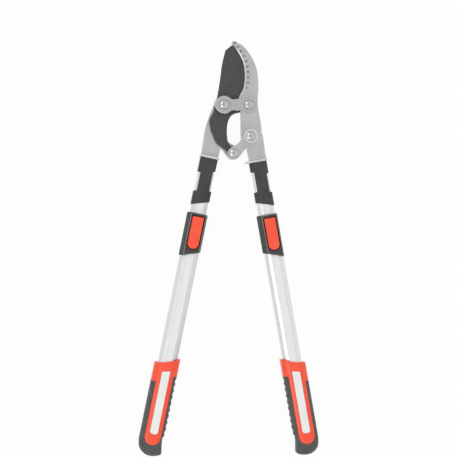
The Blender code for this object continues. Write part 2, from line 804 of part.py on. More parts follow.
def inlay_outline(grow):
    half = inlay_half_width + grow
    end = inlay_end + grow
    points = [(-half, inlay_top - grow), (half, inlay_top + inlay_slant - grow)]
    points += arc((half - inlay_corner, end - inlay_corner), inlay_corner, 0.0, 90.0, 5)
    points += arc((-half + inlay_corner, end - inlay_corner), inlay_corner, 90.0, 180.0, 5)
    return points


def add_inlay(hand, slide, side):
    mesh = flat_solid([grip_face(inlay_outline(0.0), side)], grip_half_thick - inlay_thick, grip_half_thick)
    return add_solid(f"{hand}_grip_inlay", mesh, slide, pale_plastic)


def add_handle(hand, side, frame, foot):
    """Everything on one handle below its bracket."""
    add_pins(hand, frame, foot)
    add_inner_tube(hand, frame, foot)
    add_tube_plug(hand, frame)
    add_sleeve(hand, frame, side, foot)
    slide = add_frame(f"{hand}_slide", frame, (0.0, 0.0, 0.0))
    add_outer_tube(hand, slide)
    add_housing(hand, slide, side)
    add_rocker(hand, slide, side)
    add_spring(hand, slide)
    add_grip_core(hand, slide, side)
    add_overmould(hand, slide, side)
    add_inlay(hand, slide, side)


def add_head():
    add_blade()
    add_hook()
    add_strap("front_strap", front_back, strap_front)
    add_strap("rear_strap", rear_strap_back, rear_strap_front)
    add_rear_bracket()
    add_lever_bracket()


def add_fasteners():
    strap_seat = strap_front + play
    add_bolt("blade_bolt", head_frame, blade_bolt, strap_seat, strap_bolt_end, head_radius)
    add_nut("blade_nut", head_frame, blade_bolt, rear_strap_back - play)
    add_ring("blade_spacer", head_frame, blade_bolt, blade_spacer_radius, hook_back, hook_front)
    local = hook_bolt - blade_bolt
    add_bolt("hook_bolt", strap_frame, local, strap_seat, strap_bolt_end, head_radius)
    add_nut("hook_nut", strap_frame, local, rear_strap_back - play)
    add_ring("hook_bush", strap_frame, local, hook_bush_radius, rear_back, blade_front)
    add_ring("lever_washer", lever_frame, lever_bolt, washer_radius, lever_front + play,
             lever_front + play + washer_thick)
    add_bolt("lever_bolt", lever_frame, lever_bolt, lever_front + 2 * play + washer_thick,
             hook_back + play, lever_head_radius)
    main_end = rear_back - play - nut_height - shank_end
    add_bolt("main_bolt", head_frame, main_bolt, lever_front + play, main_end, head_radius)
    add_nut("main_nut", head_frame, main_bolt, rear_back - play)
    add_ring("main_spacer", head_frame, main_bolt, main_spacer_radius, hook_back, hook_front)


def world_points():
    """Every corner of every finished solid, in world space."""
    bpy.context.view_layer.update()
    graph = bpy.context.evaluated_depsgraph_get()
    points = []
    for solid in parts.objects:
        if solid.type != "EMPTY":
            seen = solid.evaluated_get(graph)
            points += [solid.matrix_world @ vertex.co for vertex in seen.to_mesh().vertices]
            seen.to_mesh_clear()
    return points


def centre_tool(frame):
    """Put the tool's lowest face on the ground and its middle over the origin."""
    points = world_points()
    low = Vector([min(point[i] for point in points) for i in range(3)])
    high = Vector([max(point[i] for point in points) for i in range(3)])
    frame.location += Vector((-(low.x + high.x) / 2, -(low.y + high.y) / 2, -low.z))


clear_scene()
parts = add_collection("telescopic_lopper")
cutters = add_collection("cutters")

satin_steel = add_material("satin_steel", (0.42, 0.42, 0.42), 0.38, 0.9)
blade_coat = add_material("blade_coat", (0.10, 0.095, 0.095), 0.45, 0.3)
zinc = add_material("zinc", (0.62, 0.62, 0.62), 0.25, 1.0)
aluminium = add_material("aluminium", (0.78, 0.78, 0.80), 0.32, 0.9)
dark_plastic = add_material("dark_plastic", (0.075, 0.077, 0.077), 0.5, 0.0)
orange_plastic = add_material("orange_plastic", (0.95, 0.115, 0.05), 0.4, 0.0)
soft_grip = add_material("soft_grip", (0.08, 0.085, 0.085), 0.7, 0.0)
pale_plastic = add_material("pale_plastic", (0.78, 0.79, 0.84), 0.45, 0.0)

tool_frame = add_frame("tool", None, (0.0, 0.0, axis_height))
head_frame = add_frame("head", tool_frame, (0.0, 0.0, 0.0))
strap_frame = add_frame("strap_axis", head_frame, (*blade_bolt, 0.0))
hook_frame = add_frame("hook_axis", strap_frame, (*(hook_bolt - blade_bolt), 0.0))
lever_frame = add_frame("lever_axis", head_frame, (*main_bolt, 0.0))
left_frame = add_frame("left_handle", head_frame, (*on_handle(-1, 0.0, 0.0), 0.0), -handle_angle)
right_frame = add_frame("right_handle", lever_frame, (*on_handle(1, 0.0, 0.0), 0.0), handle_angle)

add_head()
add_fasteners()
add_handle("left", -1, left_frame, left_foot)
add_handle("right", 1, right_frame, right_foot)
centre_tool(tool_frame)
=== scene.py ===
# Telescopic lopper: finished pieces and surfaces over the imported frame.
# Sizes are in millimetres. The head is measured from the main bolt and the plane between the jaws,
# a handle from its own middle line: x outward, stations back along the handle, z towards the front.
from math import atan2, copysign, cos, degrees, pi, radians, sin

import bmesh
import bpy
from mathutils import Matrix, Vector
from mathutils.geometry import interpolate_bezier


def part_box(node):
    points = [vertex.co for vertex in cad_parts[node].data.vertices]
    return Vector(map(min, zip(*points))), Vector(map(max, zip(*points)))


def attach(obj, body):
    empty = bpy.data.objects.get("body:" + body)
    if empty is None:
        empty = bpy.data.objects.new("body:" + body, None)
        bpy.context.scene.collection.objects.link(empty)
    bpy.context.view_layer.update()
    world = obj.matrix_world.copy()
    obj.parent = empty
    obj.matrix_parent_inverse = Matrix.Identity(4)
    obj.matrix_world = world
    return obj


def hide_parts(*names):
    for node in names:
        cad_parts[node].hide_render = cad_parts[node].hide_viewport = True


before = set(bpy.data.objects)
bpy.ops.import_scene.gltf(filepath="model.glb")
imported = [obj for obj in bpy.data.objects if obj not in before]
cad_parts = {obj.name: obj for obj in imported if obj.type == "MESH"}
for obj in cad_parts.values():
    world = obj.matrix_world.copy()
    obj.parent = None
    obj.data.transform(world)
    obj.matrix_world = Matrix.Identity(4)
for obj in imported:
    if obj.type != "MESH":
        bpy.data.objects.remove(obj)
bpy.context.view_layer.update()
print("frame:", len(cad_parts), "nodes")

mm = 0.001
places = {
    "bladeBolt": (-17.7, 81.1),
    "hookBolt": (24.5, 82.1),
    "leverBolt": (28.2, 29.6),
    "mainBolt": (0.0, 0.0),
    "handleAngle": 10.82,
    "handleOffset": 38.6,
    "jawGap": 0.3,
    "leftFoot": 13.0,     # where the brackets' flanges start on the handles
    "rightFoot": 17.5,
    "flange": 3.5,
}
sides = {"left": -1, "right": 1}
fixedBodies = {"left": "fixed_side", "right": "lever_side"}
slideBodies = {"left": "left_outer_handle", "right": "right_outer_handle"}
buttonBodies = {"left": "left_button", "right": "right_button"}

boltLow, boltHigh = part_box("main_bolt")
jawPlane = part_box("blade")[1].z + places["jawGap"] / 2 * mm
headMiddle = Vector(((boltLow.x + boltHigh.x) / 2, (boltLow.y + boltHigh.y) / 2, jawPlane))
headPlace = Matrix.Translation(headMiddle) @ Matrix.Scale(mm, 4)


def spotPlace(spot):
    return headPlace @ Matrix.Translation((*spot, 0))


def handlePlace(side):
    turn = Matrix.Rotation(radians(places["handleAngle"]) * side, 4, "Z")
    offset = Matrix.Translation((side * places["handleOffset"], 0, 0))
    return headPlace @ turn @ offset @ Matrix.Diagonal((side, 1, 1, 1))


def heights(node):
    low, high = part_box(node)
    return (low.z - jawPlane) / mm, (high.z - jawPlane) / mm


# surfaces

def fromHex(code):   # sRGB to linear
    parts = [int(code[i:i + 2], 16) / 255 for i in (1, 3, 5)]
    linear = [p / 12.92 if p <= 0.04045 else ((p + 0.055) / 1.055) ** 2.4 for p in parts]
    return (*linear, 1.0)


def addNode(tree, kind, settings, links=()):   # gives back the new node's outputs
    node = tree.nodes.new("ShaderNode" + kind)
    for key, value in settings.items():
        if isinstance(key, int) or key in node.inputs:
            node.inputs[key].default_value = value
        else:
            setattr(node, key, value)
    for key, source in dict(links).items():
        tree.links.new(source, node.inputs[key])
    return node.outputs


def startSurface(name, settings):
    material = bpy.data.materials.new(name)
    material.use_nodes = True
    tree = material.node_tree
    shader = tree.nodes["Principled BSDF"]
    for key, value in settings.items():
        shader.inputs[key].default_value = value
    return material, tree, shader


def clouds(tree, patch, detail, stretch=(1, 1, 1), turn=0.0):
    # an uneven pattern, one patch so many millimetres across. Real grain, grit and die lines are finer
    # than 0.2 mm: they are drawn 0.4 to 0.9 mm wide, so that a close view shows them
    place = addNode(tree, "TexCoord", {})["Object"]
    space = addNode(tree, "Mapping", {"Rotation": (0, 0, turn), "Scale": stretch}, {"Vector": place})[0]
    settings = {"Scale": 1 / (patch * mm), "Detail": detail, "Roughness": 0.55}
    return addNode(tree, "TexNoise", settings, {"Vector": space})["Fac"]


def dress(tree, shader, tone, between, tones, shine, roughness, grain=None, depth=0.0, strength=0.0):
    # the colour runs between two tones and the roughness between two values, each after its own pattern;
    # the grain stands out by its depth in millimetres
    dark, light = [fromHex(code) for code in tones]
    share = addNode(tree, "MapRange", {"From Min": between[0], "From Max": between[1]}, {"Value": tone})[0]
    limits = {"From Min": 0.3, "From Max": 0.7, "To Min": roughness[0], "To Max": roughness[1]}
    links = {"Base Color": addNode(tree, "Mix", {"data_type": "RGBA", 6: dark, 7: light}, {0: share})[2],
             "Roughness": addNode(tree, "MapRange", limits, {"Value": shine})[0]}
    if depth:
        settings = {"Strength": strength, "Distance": depth * mm}
        links["Normal"] = addNode(tree, "Bump", settings, {"Height": grain})[0]
    for key, source in links.items():
        tree.links.new(source, shader.inputs[key])


def makeCoatedSteel():
    # fluoropolymer coat sprayed on carbon steel: dark grey, low sheen, faintly mottled
    material, tree, shader = startSurface("fluoropolymerCoat", {"Metallic": 0.0, "IOR": 1.38})
    mottle = clouds(tree, patch=9.0, detail=5.0)
    rubbed = clouds(tree, 2.2, 6.0, stretch=(1, 0.12, 1), turn=0.25)   # faint rubbing up the blade
    tone = addNode(tree, "Math", {"operation": "MULTIPLY"}, {0: mottle, 1: rubbed})[0]
    dress(tree, shader, tone, (0.12, 0.42), ("#454342", "#524F4E"), rubbed, (0.40, 0.56),
          clouds(tree, patch=0.5, detail=3.0), depth=0.02, strength=0.5)
    return material


def makeGroundSteel():
    # the ground and lapped cutting edge: bare, bright, fine lines across the edge
    material, tree, shader = startSurface("groundSteel", {"Metallic": 1.0})
    lines = clouds(tree, 3.0, 4.0, stretch=(1, 14, 1), turn=0.3)
    dress(tree, shader, lines, (0, 1), ("#B9BBBD", "#D6D7D9"), lines, (0.20, 0.34), lines,
          depth=0.01, strength=0.4)
    return material


def makeBlastedSteel(name, *tones):
    # bead blasted steel plate: even silver grey with a fine sparkle, a little darker where handled
    material, tree, shader = startSurface(name, {"Metallic": 0.92})
    grit = clouds(tree, patch=0.7, detail=2.0)
    handled = clouds(tree, patch=26.0, detail=3.0)
    tone = addNode(tree, "Math", {"operation": "MULTIPLY_ADD", 1: 0.45}, {0: grit, 2: handled})[0]
    dress(tree, shader, tone, (0.45, 0.95), tones, handled, (0.40, 0.50), grit, depth=0.02, strength=0.35)
    return material


def makeZinc(name, metallic, patch, tones, roughness):
    # zinc plated steel: mirror like with a soft milky haze; inside the hexagon sockets a darker, duller
    # tone, partly thin plating and partly painted shade
    material, tree, shader = startSurface(name, {"Metallic": metallic})
    haze = clouds(tree, patch, detail=4.0)
    dress(tree, shader, haze, (0, 1), tones, haze, roughness)
    return material


def makeAluminium(name, side):
    # drawn and satin anodised aluminium: pale, with die lines that run along the tube
    material, tree, shader = startSurface(name, {"Metallic": 0.88})
    turn = -side * radians(places["handleAngle"])
    dieLines = clouds(tree, 0.8, 4.0, stretch=(1, 0.004, 1), turn=turn)
    cloud = clouds(tree, 14.0, 3.0, stretch=(1, 0.2, 1), turn=turn)
    dress(tree, shader, dieLines, (0, 1), ("#DBDBDC", "#E7E7E8"), cloud, (0.27, 0.33), dieLines,
          depth=0.006, strength=0.25)
    return material


def makeMouldedPlastic(name, dark, light, roughness, grain, depth, gloss=0.5):
    # injection moulded plastic with a spark eroded grain from the mould
    material, tree, shader = startSurface(name, {"Metallic": 0.0, "IOR": 1.53, "Specular IOR Level": gloss})
    texture = clouds(tree, grain, detail=2.0)
    flow = clouds(tree, patch=22.0, detail=3.0)
    dress(tree, shader, flow, (0.3, 0.7), (dark, light), texture, (roughness - 0.05, roughness + 0.06),
          texture, depth, strength=0.5)
    return material


def makeSoftGrip():
    # thermoplastic elastomer moulded over the core: matt, stippled, slightly dusty in broad patches
    settings = {"Metallic": 0.0, "IOR": 1.48, "Specular IOR Level": 0.35, "Sheen Weight": 0.12,
                "Sheen Roughness": 0.5}
    material, tree, shader = startSurface("softElastomer", settings)
    stipple = clouds(tree, patch=0.9, detail=2.0)
    dust = clouds(tree, patch=17.0, detail=4.0)
    dress(tree, shader, dust, (0.3, 0.7), ("#4D4E4E", "#595A59"), stipple, (0.66, 0.80), stipple,
          depth=0.06, strength=0.6)
    return material


surfaces = {     # plastics: dark and light tone, roughness, grain and its depth in millimetres, gloss
    "blade": makeCoatedSteel(),
    "edge": makeGroundSteel(),
    "hook": makeBlastedSteel("blastedSteelHook", "#ABABAA", "#BEBEBD"),
    "strap": makeBlastedSteel("blastedSteelStrap", "#A5A5A5", "#B7B7B7"),
    # sides of the plates and the flanges: bare cut steel, paler partly as a painted highlight
    "cut": makeBlastedSteel("cutSteelEdgeHighlight", "#C6C6C6", "#D8D8D8"),
    "zinc": makeZinc("brightZincPlate", 1.0, 2.4, ("#B2B3B3", "#D2D2D1"), (0.16, 0.28)),
    # the sockets' darker tone is partly dull plating and partly painted shade
    "socket": makeZinc("dullShadedZincSocket", 0.85, 1.1, ("#A9A8A3", "#C6C5C0"), (0.40, 0.60)),
    "dark": makeMouldedPlastic("mouldedAbsCharcoal", "#424240", "#4C4C4A", 0.62, 0.8, 0.03, 0.15),
    "sleeve": makeMouldedPlastic("mouldedNylonCharcoal", "#3A3A39", "#454543", 0.5, 0.8, 0.02, 0.3),
    # the housings' front rims: a paler tone that is a painted highlight
    "rubbed": makeMouldedPlastic("mouldedAbsRimHighlight", "#7A7A79", "#8C8C8A", 0.42, 0.8, 0.03, 0.3),
    "plug": makeMouldedPlastic("mouldedNylonBlack", "#2F3030", "#383939", 0.5, 0.6, 0.02),
    "orange": makeMouldedPlastic("mouldedAbsOrange", "#FF4A25", "#FF5632", 0.36, 0.9, 0.01),
    "pale": makeMouldedPlastic("mouldedAbsPale", "#EDEEEC", "#F5F6F4", 0.42, 0.9, 0.01),
    "soft": makeSoftGrip(),
    "mark": makeMouldedPlastic("laserMark", "#2B2B2A", "#393938", 0.6, 0.4, 0.005),
    "aluminiumLeft": makeAluminium("anodisedAluminiumLeft", -1),
    "aluminiumRight": makeAluminium("anodisedAluminiumRight", 1),
}
print("surfaces:", len(surfaces))


# outlines and shapes

def arcLine(centre, radius, start, end, steps):
    turns = [radians(start + (end - start) * i / steps) for i in range(steps + 1)]
    return [(centre[0] + radius * cos(t), centre[1] + radius * sin(t)) for t in turns]


def circleLine(centre, radius, steps=40):
    return arcLine(centre, radius, 0, 360, steps)[:-1]


def smoothLine(points, steps=6):   # an even curve through all the points
    row = [Vector(p) for p in points]
    row = [2 * row[0] - row[1], *row, 2 * row[-1] - row[-2]]
    line = []
    for a, b, c, d in zip(row, row[1:], row[2:], row[3:]):
        for i in range(steps):
            t = i / steps
            line.append(tuple(0.5 * (2 * b + (c - a) * t + (2 * a - 5 * b + 4 * c - d) * t ** 2
                                     + (3 * b - a - 3 * c + d) * t ** 3)))
    return line + [tuple(row[-2])]


def pulledLine(start, startPull, endPull, end, steps=10):
    points = [Vector((*p, 0)) for p in (start, startPull, endPull, end)]
    return [tuple(p[:2]) for p in interpolate_bezier(*points, steps + 1)]


def drawIn(outline, first, last, amount, ease):   # moves part of a counterclockwise outline inward
    line = []
    for i, point in enumerate(outline):
        if not first <= i <= last:
            line.append(point)
            continue
        way = (Vector(outline[(i + 1) % len(outline)]) - Vector(outline[i - 1])).normalized()
        share = min(1.0, (i - first) / ease, (last - i) / ease)
        line.append(tuple(Vector(point) + Vector((-way.y, way.x)) * amount * share))
    return line


def faceOut(shape):
    bmesh.ops.recalc_face_normals(shape, faces=shape.faces)
    return shape


def toMesh(name, shape):
    data = bpy.data.meshes.new(name)
    shape.to_mesh(data)
    shape.free()
    return data


def level(outline, z):
    return [(x, y, z) for x, y in outline]


def across(section, station):   # a section of a handle, set at a station
    return [(x, -station, z) for x, z in section]


def stack(rings):   # a closed solid, extruded from ring to ring
    shape = bmesh.new()
    first = [shape.verts.new(p) for p in rings[0]]
    cap = shape.faces.new(first)
    for ring in rings[1:]:
        cap = bmesh.ops.extrude_discrete_faces(shape, faces=[cap])["faces"][0]
        for vert, point in zip(cap.verts, ring):
            vert.co = point
    shape.faces.new(first[::-1])
    return faceOut(shape)


def bevel(shape, parts, width, segments, affect="EDGES"):
    bmesh.ops.bevel(shape, geom=parts, offset=width, offset_type="OFFSET", segments=segments, profile=0.5,
                    affect=affect, clamp_overlap=True, material=-1)


def soften(shape, width, segments=3, bluntest=40.0, sharpest=120.0):   # rounds the edges between two angles
    edges = [e for e in shape.edges
             if e.is_manifold and bluntest < degrees(e.calc_face_angle()) < sharpest]
    bevel(shape, edges, width, segments)
    return shape


def endCaps(shape):   # the many sided faces at a shape's ends
    return [f for f in shape.faces if len(f.verts) > 20]


def flatFace(shape, z):   # the largest flat face at this height
    flats = [f for f in shape.faces if abs(f.normal.z) > 0.999 and abs(f.verts[0].co.z - z) < 0.01]
    return max(flats, key=lambda f: f.calc_area())


def openRims(shape):   # the edges round every opening
    return [e for e in shape.edges if e.is_boundary]


def dropFaces(shape, faces):
    bmesh.ops.delete(shape, geom=faces, context="FACES_ONLY")


def ringOf(shape, points):
    verts = [shape.verts.new(p) for p in points]
    return [shape.edges.new(pair) for pair in zip(verts, verts[1:] + verts[:1])]


def openFace(shape, face, rings):   # a flat face gets openings at the rings
    edges = list(face.edges)
    dropFaces(shape, [face])
    bmesh.ops.triangle_fill(shape, use_beauty=True, edges=edges + [e for ring in rings for e in ring])


def joinRims(shape, rims):   # a wall from each ring of the first side to its partner on the second
    for upper, lower in zip(*rims):
        bmesh.ops.bridge_loops(shape, edges=upper + lower)


def pierce(shape, holes):   # holes right through a plate
    rims = []
    for cap in endCaps(shape):
        z = cap.verts[0].co.z
        rings = [ringOf(shape, level(hole, z)) for hole in holes]
        openFace(shape, cap, rings)
        rims.append(rings)
    joinRims(shape, rims)
    return shape


def plate(outline, low, high, holes, width):
    return pierce(soften(stack([level(outline, low), level(outline, high)]), width), holes)


def cutAndHighlightSides(shape):   # every face that isn't flat up or down takes the paler steel: bare cut steel, and partly a painted highlight on the edges
    for face in shape.faces:
        face.material_index = int(abs(face.normal.z) < 0.97)
    return shape


def turned(profile, steps):   # a profile of radius and height, spun round the z axis
    shape = bmesh.new()
    verts = [shape.verts.new((r, 0, z)) for r, z in profile]
    edges = [shape.edges.new(pair) for pair in zip(verts, verts[1:])]
    bmesh.ops.spin(shape, geom=verts + edges, cent=(0, 0, 0), axis=(0, 0, 1), dvec=(0, 0, 0),
                   angle=2 * pi, steps=steps, use_merge=True)
    bmesh.ops.remove_doubles(shape, verts=shape.verts, dist=0.0005)
    return faceOut(shape)


def addShape(shape, other, place=Matrix.Identity(4)):
    bmesh.ops.transform(other, matrix=place, verts=other.verts)
    holder = toMesh("holder", faceOut(other))
    shape.from_mesh(holder)
    bpy.data.meshes.remove(holder)
    return shape


def addObject(name, data):
    item = bpy.data.objects.new(name, data)
    bpy.context.scene.collection.objects.link(item)
    return item


def evaluated(item):
    bpy.context.view_layer.update()
    return item.evaluated_get(bpy.context.evaluated_depsgraph_get())


def combine(shape, other, operation):   # keeps or cuts what two closed shapes share
    pair = [addObject("pair", toMesh("pair", part)) for part in (shape, other)]
    step = pair[0].modifiers.new("Boolean", "BOOLEAN")
    step.operation = operation
    step.solver = "EXACT"
    step.object = pair[1]
    seen = evaluated(pair[0])
    result = bmesh.new()
    result.from_mesh(seen.to_mesh())
    seen.to_mesh_clear()
    for item in pair:
        data = item.data
        bpy.data.objects.remove(item)
        bpy.data.meshes.remove(data)
    return result


def finishPiece(name, shape, place, body, nodes, finishes, crease=38.0):
    bmesh.ops.transform(shape, matrix=place, verts=shape.verts)
    bmesh.ops.remove_doubles(shape, verts=shape.verts, dist=0.000002)
    for face in faceOut(shape).faces:
        face.smooth = True
    data = toMesh(name, shape)
    data.set_sharp_from_angle(angle=radians(crease))
    for finish in finishes:
        data.materials.append(surfaces[finish])
    piece = addObject(name, data)
    weighted = piece.modifiers.new("Flat faces stay flat", "WEIGHTED_NORMAL")
    weighted.keep_sharp = True
    weighted.weight = 80
    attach(piece, body)
    if nodes:
        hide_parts(*nodes)


def finishOnHandle(hand, name, shape, bodies, node, finishes, crease=38.0):
    place = handlePlace(sides[hand])
    finishPiece(hand + name, shape, place, bodies[hand], [f"{hand}_{node}"], finishes, crease)


# jaws

blade = {
    "heelRadius": 32.3,
    "heelArc": (-16, 24, 12),      # first and last angle, steps
    "tangRadius": 9.0,
    "tangArc": (165, 430, 30),
    "grind": 7.5,
    "grindEase": 7,                # points over which the grind runs out
    "rounding": 0.3,
    "edge": ((18.2, 106.0), (22.8, 121.0), (23.6, 137.0), (20.0, 152.0), (12.0, 167.0), (3.0, 177.0),
             (-4.5, 182.6)),
    "spine": ((-15.4, 173.5), (-20.8, 148.9), (-23.8, 123.6), (-28.5, 93.2), (-34.1, 69.6), (-40.4, 56.0),
              (-38.7, 40.9), (-34.4, 29.2), (-28.3, 16.6)),
    "inside": ((-5.0, 13.0), (-9.1, 19.5), (-10.9, 30.5), (-11.2, 41.5), (-10.0, 51.5), (-6.5, 60.5),
               (0.5, 66.6), (9.5, 69.0)),
}
hole = 4.3   # radius of every bolt hole


def makeBlade():
    low, high = heights("blade")
    heel = arcLine(places["bladeBolt"], blade["heelRadius"], *blade["heelArc"])
    edge = smoothLine((heel[-1],) + blade["edge"], 8)
    outline = heel + edge[1:] + smoothLine(blade["spine"])
    outline += arcLine(places["mainBolt"], blade["tangRadius"], *blade["tangArc"])
    outline += smoothLine(blade["inside"])
    first = len(heel) - 1
    last = first + len(edge) - 1
    ground = drawIn(outline, first, last, blade["grind"], blade["grindEase"])
    shape = stack([level(ground, low), level(outline, high)])
    for face in shape.faces:   # the grind is the only slanting side
        face.material_index = int(len(face.verts) == 4 and face.normal.z < -0.35)
    soften(shape, blade["rounding"])
    pierce(shape, [circleLine(places["bladeBolt"], hole), circleLine(places["mainBolt"], hole)])
    finishPiece("bladePlate", shape, headPlace, "fixed_side", ["blade"], ["blade", "edge"])


hook = {
    "chamfer": 2.2,
    "chamferDepth": 1.4,
    "chamferPoints": 36,           # points of the inner side along which the chamfer runs
    "chamferEase": 4,
    "tailThrough": (11.9, 27.0),   # a point that the tail's round end passes through
    "tailArc": (200, 300, 16),
    "slotHalfWidth": 5.7,
    "slotUp": 13.0,
    "slotDown": 4.8,
    "rounding": 0.3,
    "outside": ((40.0, 17.0), (45.8, 29.0), (46.9, 40.3), (44.9, 54.8), (40.8, 75.8), (39.6, 95.0),
                (40.7, 107.6), (38.8, 135.2), (32.7, 154.6), (22.5, 171.1), (11.3, 182.3), (-4.0, 189.3)),
    "inside": ((-5.6, 185.0), (6.9, 167.9), (14.5, 152.9), (17.4, 134.9), (17.0, 119.9), (14.8, 107.9),
               (7.4, 93.7), (8.2, 80.0), (10.5, 70.2), (11.9, 31.5)),
}


def makeHook():
    low, high = heights("hook")
    outside = smoothLine(hook["outside"])
    inside = smoothLine(hook["inside"])
    lever = Vector(places["leverBolt"])
    tail = arcLine(lever, (lever - Vector(hook["tailThrough"])).length, *hook["tailArc"])
    outline = outside + inside + tail
    first = len(outside) + 1
    bevelled = drawIn(outline, first, first + hook["chamferPoints"], hook["chamfer"], hook["chamferEase"])
    shape = stack([level(outline, low), level(outline, high - hook["chamferDepth"]), level(bevelled, high)])
    soften(shape, hook["rounding"])
    half = hook["slotHalfWidth"]
    slot = arcLine(lever + Vector((0, hook["slotUp"] - half)), half, 0, 180, 16)
    slot += arcLine(lever - Vector((0, hook["slotDown"] - half)), half, 180, 360, 16)
    pierce(shape, [circleLine(places["hookBolt"], hole), slot])
    cutAndHighlightSides(shape)
    finishPiece("hookPlate", shape, headPlace, "hook_jaw", ["hook"], ["hook", "cut"],
                crease=20.0)


scale = {
    "firstAt": 110.5,      # how far up the head the first long mark stands
    "lastAt": 184.0,
    "step": 1.72,          # millimetres between marks
    "figureEvery": 5,      # marks from one figure to the next, and the first figure
    "fromEdge": 1.5,       # from the hook's inner edge to the marks
    "long": 0.9,
    "short": 0.5,
    "width": 0.3,
    "depth": 0.03,
    "figure": 4.7,
    "figureGap": 0.1,
    "bold": 0.14,
}


def figureMesh(words):
    text = bpy.data.curves.new("figure", "FONT")
    text.body = words
    text.size = scale["figure"]
    text.align_x = "CENTER"
    text.align_y = "CENTER"
    text.extrude = scale["depth"]
    text.offset = scale["bold"]
    item = addObject("figure", text)
    data = bpy.data.meshes.new_from_object(evaluated(item))
    bpy.data.objects.remove(item)
    bpy.data.curves.remove(text)
    return data


def makeScale():
    # a plain scale along the inner side of the hook, with a figure at every fifth mark
    s, top = scale, heights("hook")[1]
    inside = [Vector(p) for p in smoothLine(hook["inside"], 24)]
    run = [p for p in reversed(inside) if s["firstAt"] < p.y < s["lastAt"]]
    shape = bmesh.new()
    walked, count = 0.0, 0
    for before, after in zip(run, run[1:]):
        walked += (after - before).length
        if walked < s["step"] * count:
            continue
        way = (after - before).normalized()
        right = Vector((way.y, -way.x))
        turn = Matrix((right.to_3d(), way.to_3d(), (0, 0, 1))).transposed().to_4x4()
        hasFigure = count % s["figureEvery"] == 0
        length = s["long"] if hasFigure else s["short"]
        middle = after + right * (s["fromEdge"] + length / 2)
        size = Matrix.Diagonal((length, s["width"], s["depth"] * 2, 1))
        bmesh.ops.create_cube(shape, size=1.0, matrix=Matrix.Translation((*middle, top)) @ turn @ size)
        if hasFigure:
            spot = after + right * (s["fromEdge"] + s["long"] + s["figureGap"] + s["figure"] / 2)
            figure = figureMesh(str(count + s["figureEvery"]))
            figure.transform(Matrix.Translation((*spot, top)) @ turn)
            shape.from_mesh(figure)
            bpy.data.meshes.remove(figure)
        count += 1
    finishPiece("hookScale", shape, headPlace, "hook_jaw", [], ["mark"])


makeBlade()
makeHook()
makeScale()
print("jaws done")


# straps and brackets

strap = {"bladeEnd": 15.0, "hookEnd": 12.5, "waist": 9.8, "waistAt": 0.56, "spread": 48.0, "pull": 0.14,
         "rounding": 0.55}


def makeStraps():
    start = Vector(places["bladeBolt"])
    line = Vector(places["hookBolt"]) - start
    length = line.length

    def lobeEnd(centre, radius, angle):
        a = radians(angle)
        return (Vector((centre + radius * cos(a), radius * sin(a))),
                Vector((sin(a), -cos(a))))

    big, bigWay = lobeEnd(0, strap["bladeEnd"], strap["spread"])
    small, smallWay = lobeEnd(length, strap["hookEnd"], 180 - strap["spread"])
    waist = Vector((length * strap["waistAt"], strap["waist"]))
    pull = length * strap["pull"]
    along = Vector((pull, 0))
    upper = pulledLine(big, big + bigWay * pull, waist - along, waist)
    upper += pulledLine(waist, waist + along, small - smallWay * pull, small)[1:]
    hookLobe = arcLine((length, 0), strap["hookEnd"], 180 - strap["spread"], strap["spread"] - 180, 40)
    bladeLobe = arcLine((0, 0), strap["bladeEnd"], -strap["spread"], strap["spread"] - 360, 44)
    outline = upper + hookLobe[1:-1] + [(x, -y) for x, y in reversed(upper)] + bladeLobe[1:-1]
    outline = outline[::-1]
    place = spotPlace(start) @ Matrix.Rotation(atan2(line.y, line.x), 4, "Z")
    for name, node in (("frontStrap", "front_strap"), ("rearStrap", "rear_strap")):
        shape = plate(outline, *heights(node), [circleLine((0, 0), hole), circleLine((length, 0), hole)],
                      strap["rounding"])
        cutAndHighlightSides(shape)
        finishPiece(name, shape, place, "straps", [node], ["strap", "cut"])


bracket = {
    "thick": 4.0,
    "mainLobe": 10.5,
    "leverLobe": 13.4,
    "leverArc": (55, 165, 24),
    "rearLobe": 13.0,
    "rearArc": (-25, 125, 24),
    "leftNotch": (-20.8, 8.8),
    "leftMainArc": (215, 385, 24),
    "leftInside": ((2.0, 14.0), (-12.0, 23.0), (-15.0, 36.0), (-13.8, 50.0), (-8.0, 66.0)),
    "leftOutside": ((-34.0, 80.0), (-41.2, 61.9), (-48.0, 38.6), (-52.2, 8.0)),
    "rightOutside": ((52.8, 3.9), (50.0, 22.5), (47.2, 34.5), (42.0, 38.5)),
    "rightInside": ((13.4, 27.1), (7.9, 18.2), (0.0, 12.5)),
    "rightMainArc": (115, 325, 32),
    "rightNotch": (20.8, 9.2),
    "footOut": 14.3,
    "footIn": 15.5,
    "flangeOut": 15.4,
    "leftFlangeIn": 16.0,
    "rightFlangeIn": 20.1,
    "flangeDepth": 11.8,
    "flangeCorner": 1.2,
    "flangeRounding": 0.5,
    "spigot": 46.0,
    "rounding": 0.55,
    "pinRadius": 2.7,
    "pins": (12.0, 34.0),
}
rail = {"halfWidth": 13.4, "halfThick": 9.5, "flat": 6.6, "side": 4.6, "bow": 0.3, "rounding": 1.5,
        "innerWall": 1.5, "outerWall": 1.6, "gap": 0.3, "boreRounding": 1.1, "wideRounding": 1.4,
        "grooveWidth": 1.2, "grooveFromCorner": 0.1, "grooveDepth": 0.45,
        "groove": ((-1, 0), (-0.5, 0.8), (0, 1), (0.5, 0.8), (1, 0))}   # shares of half width and depth


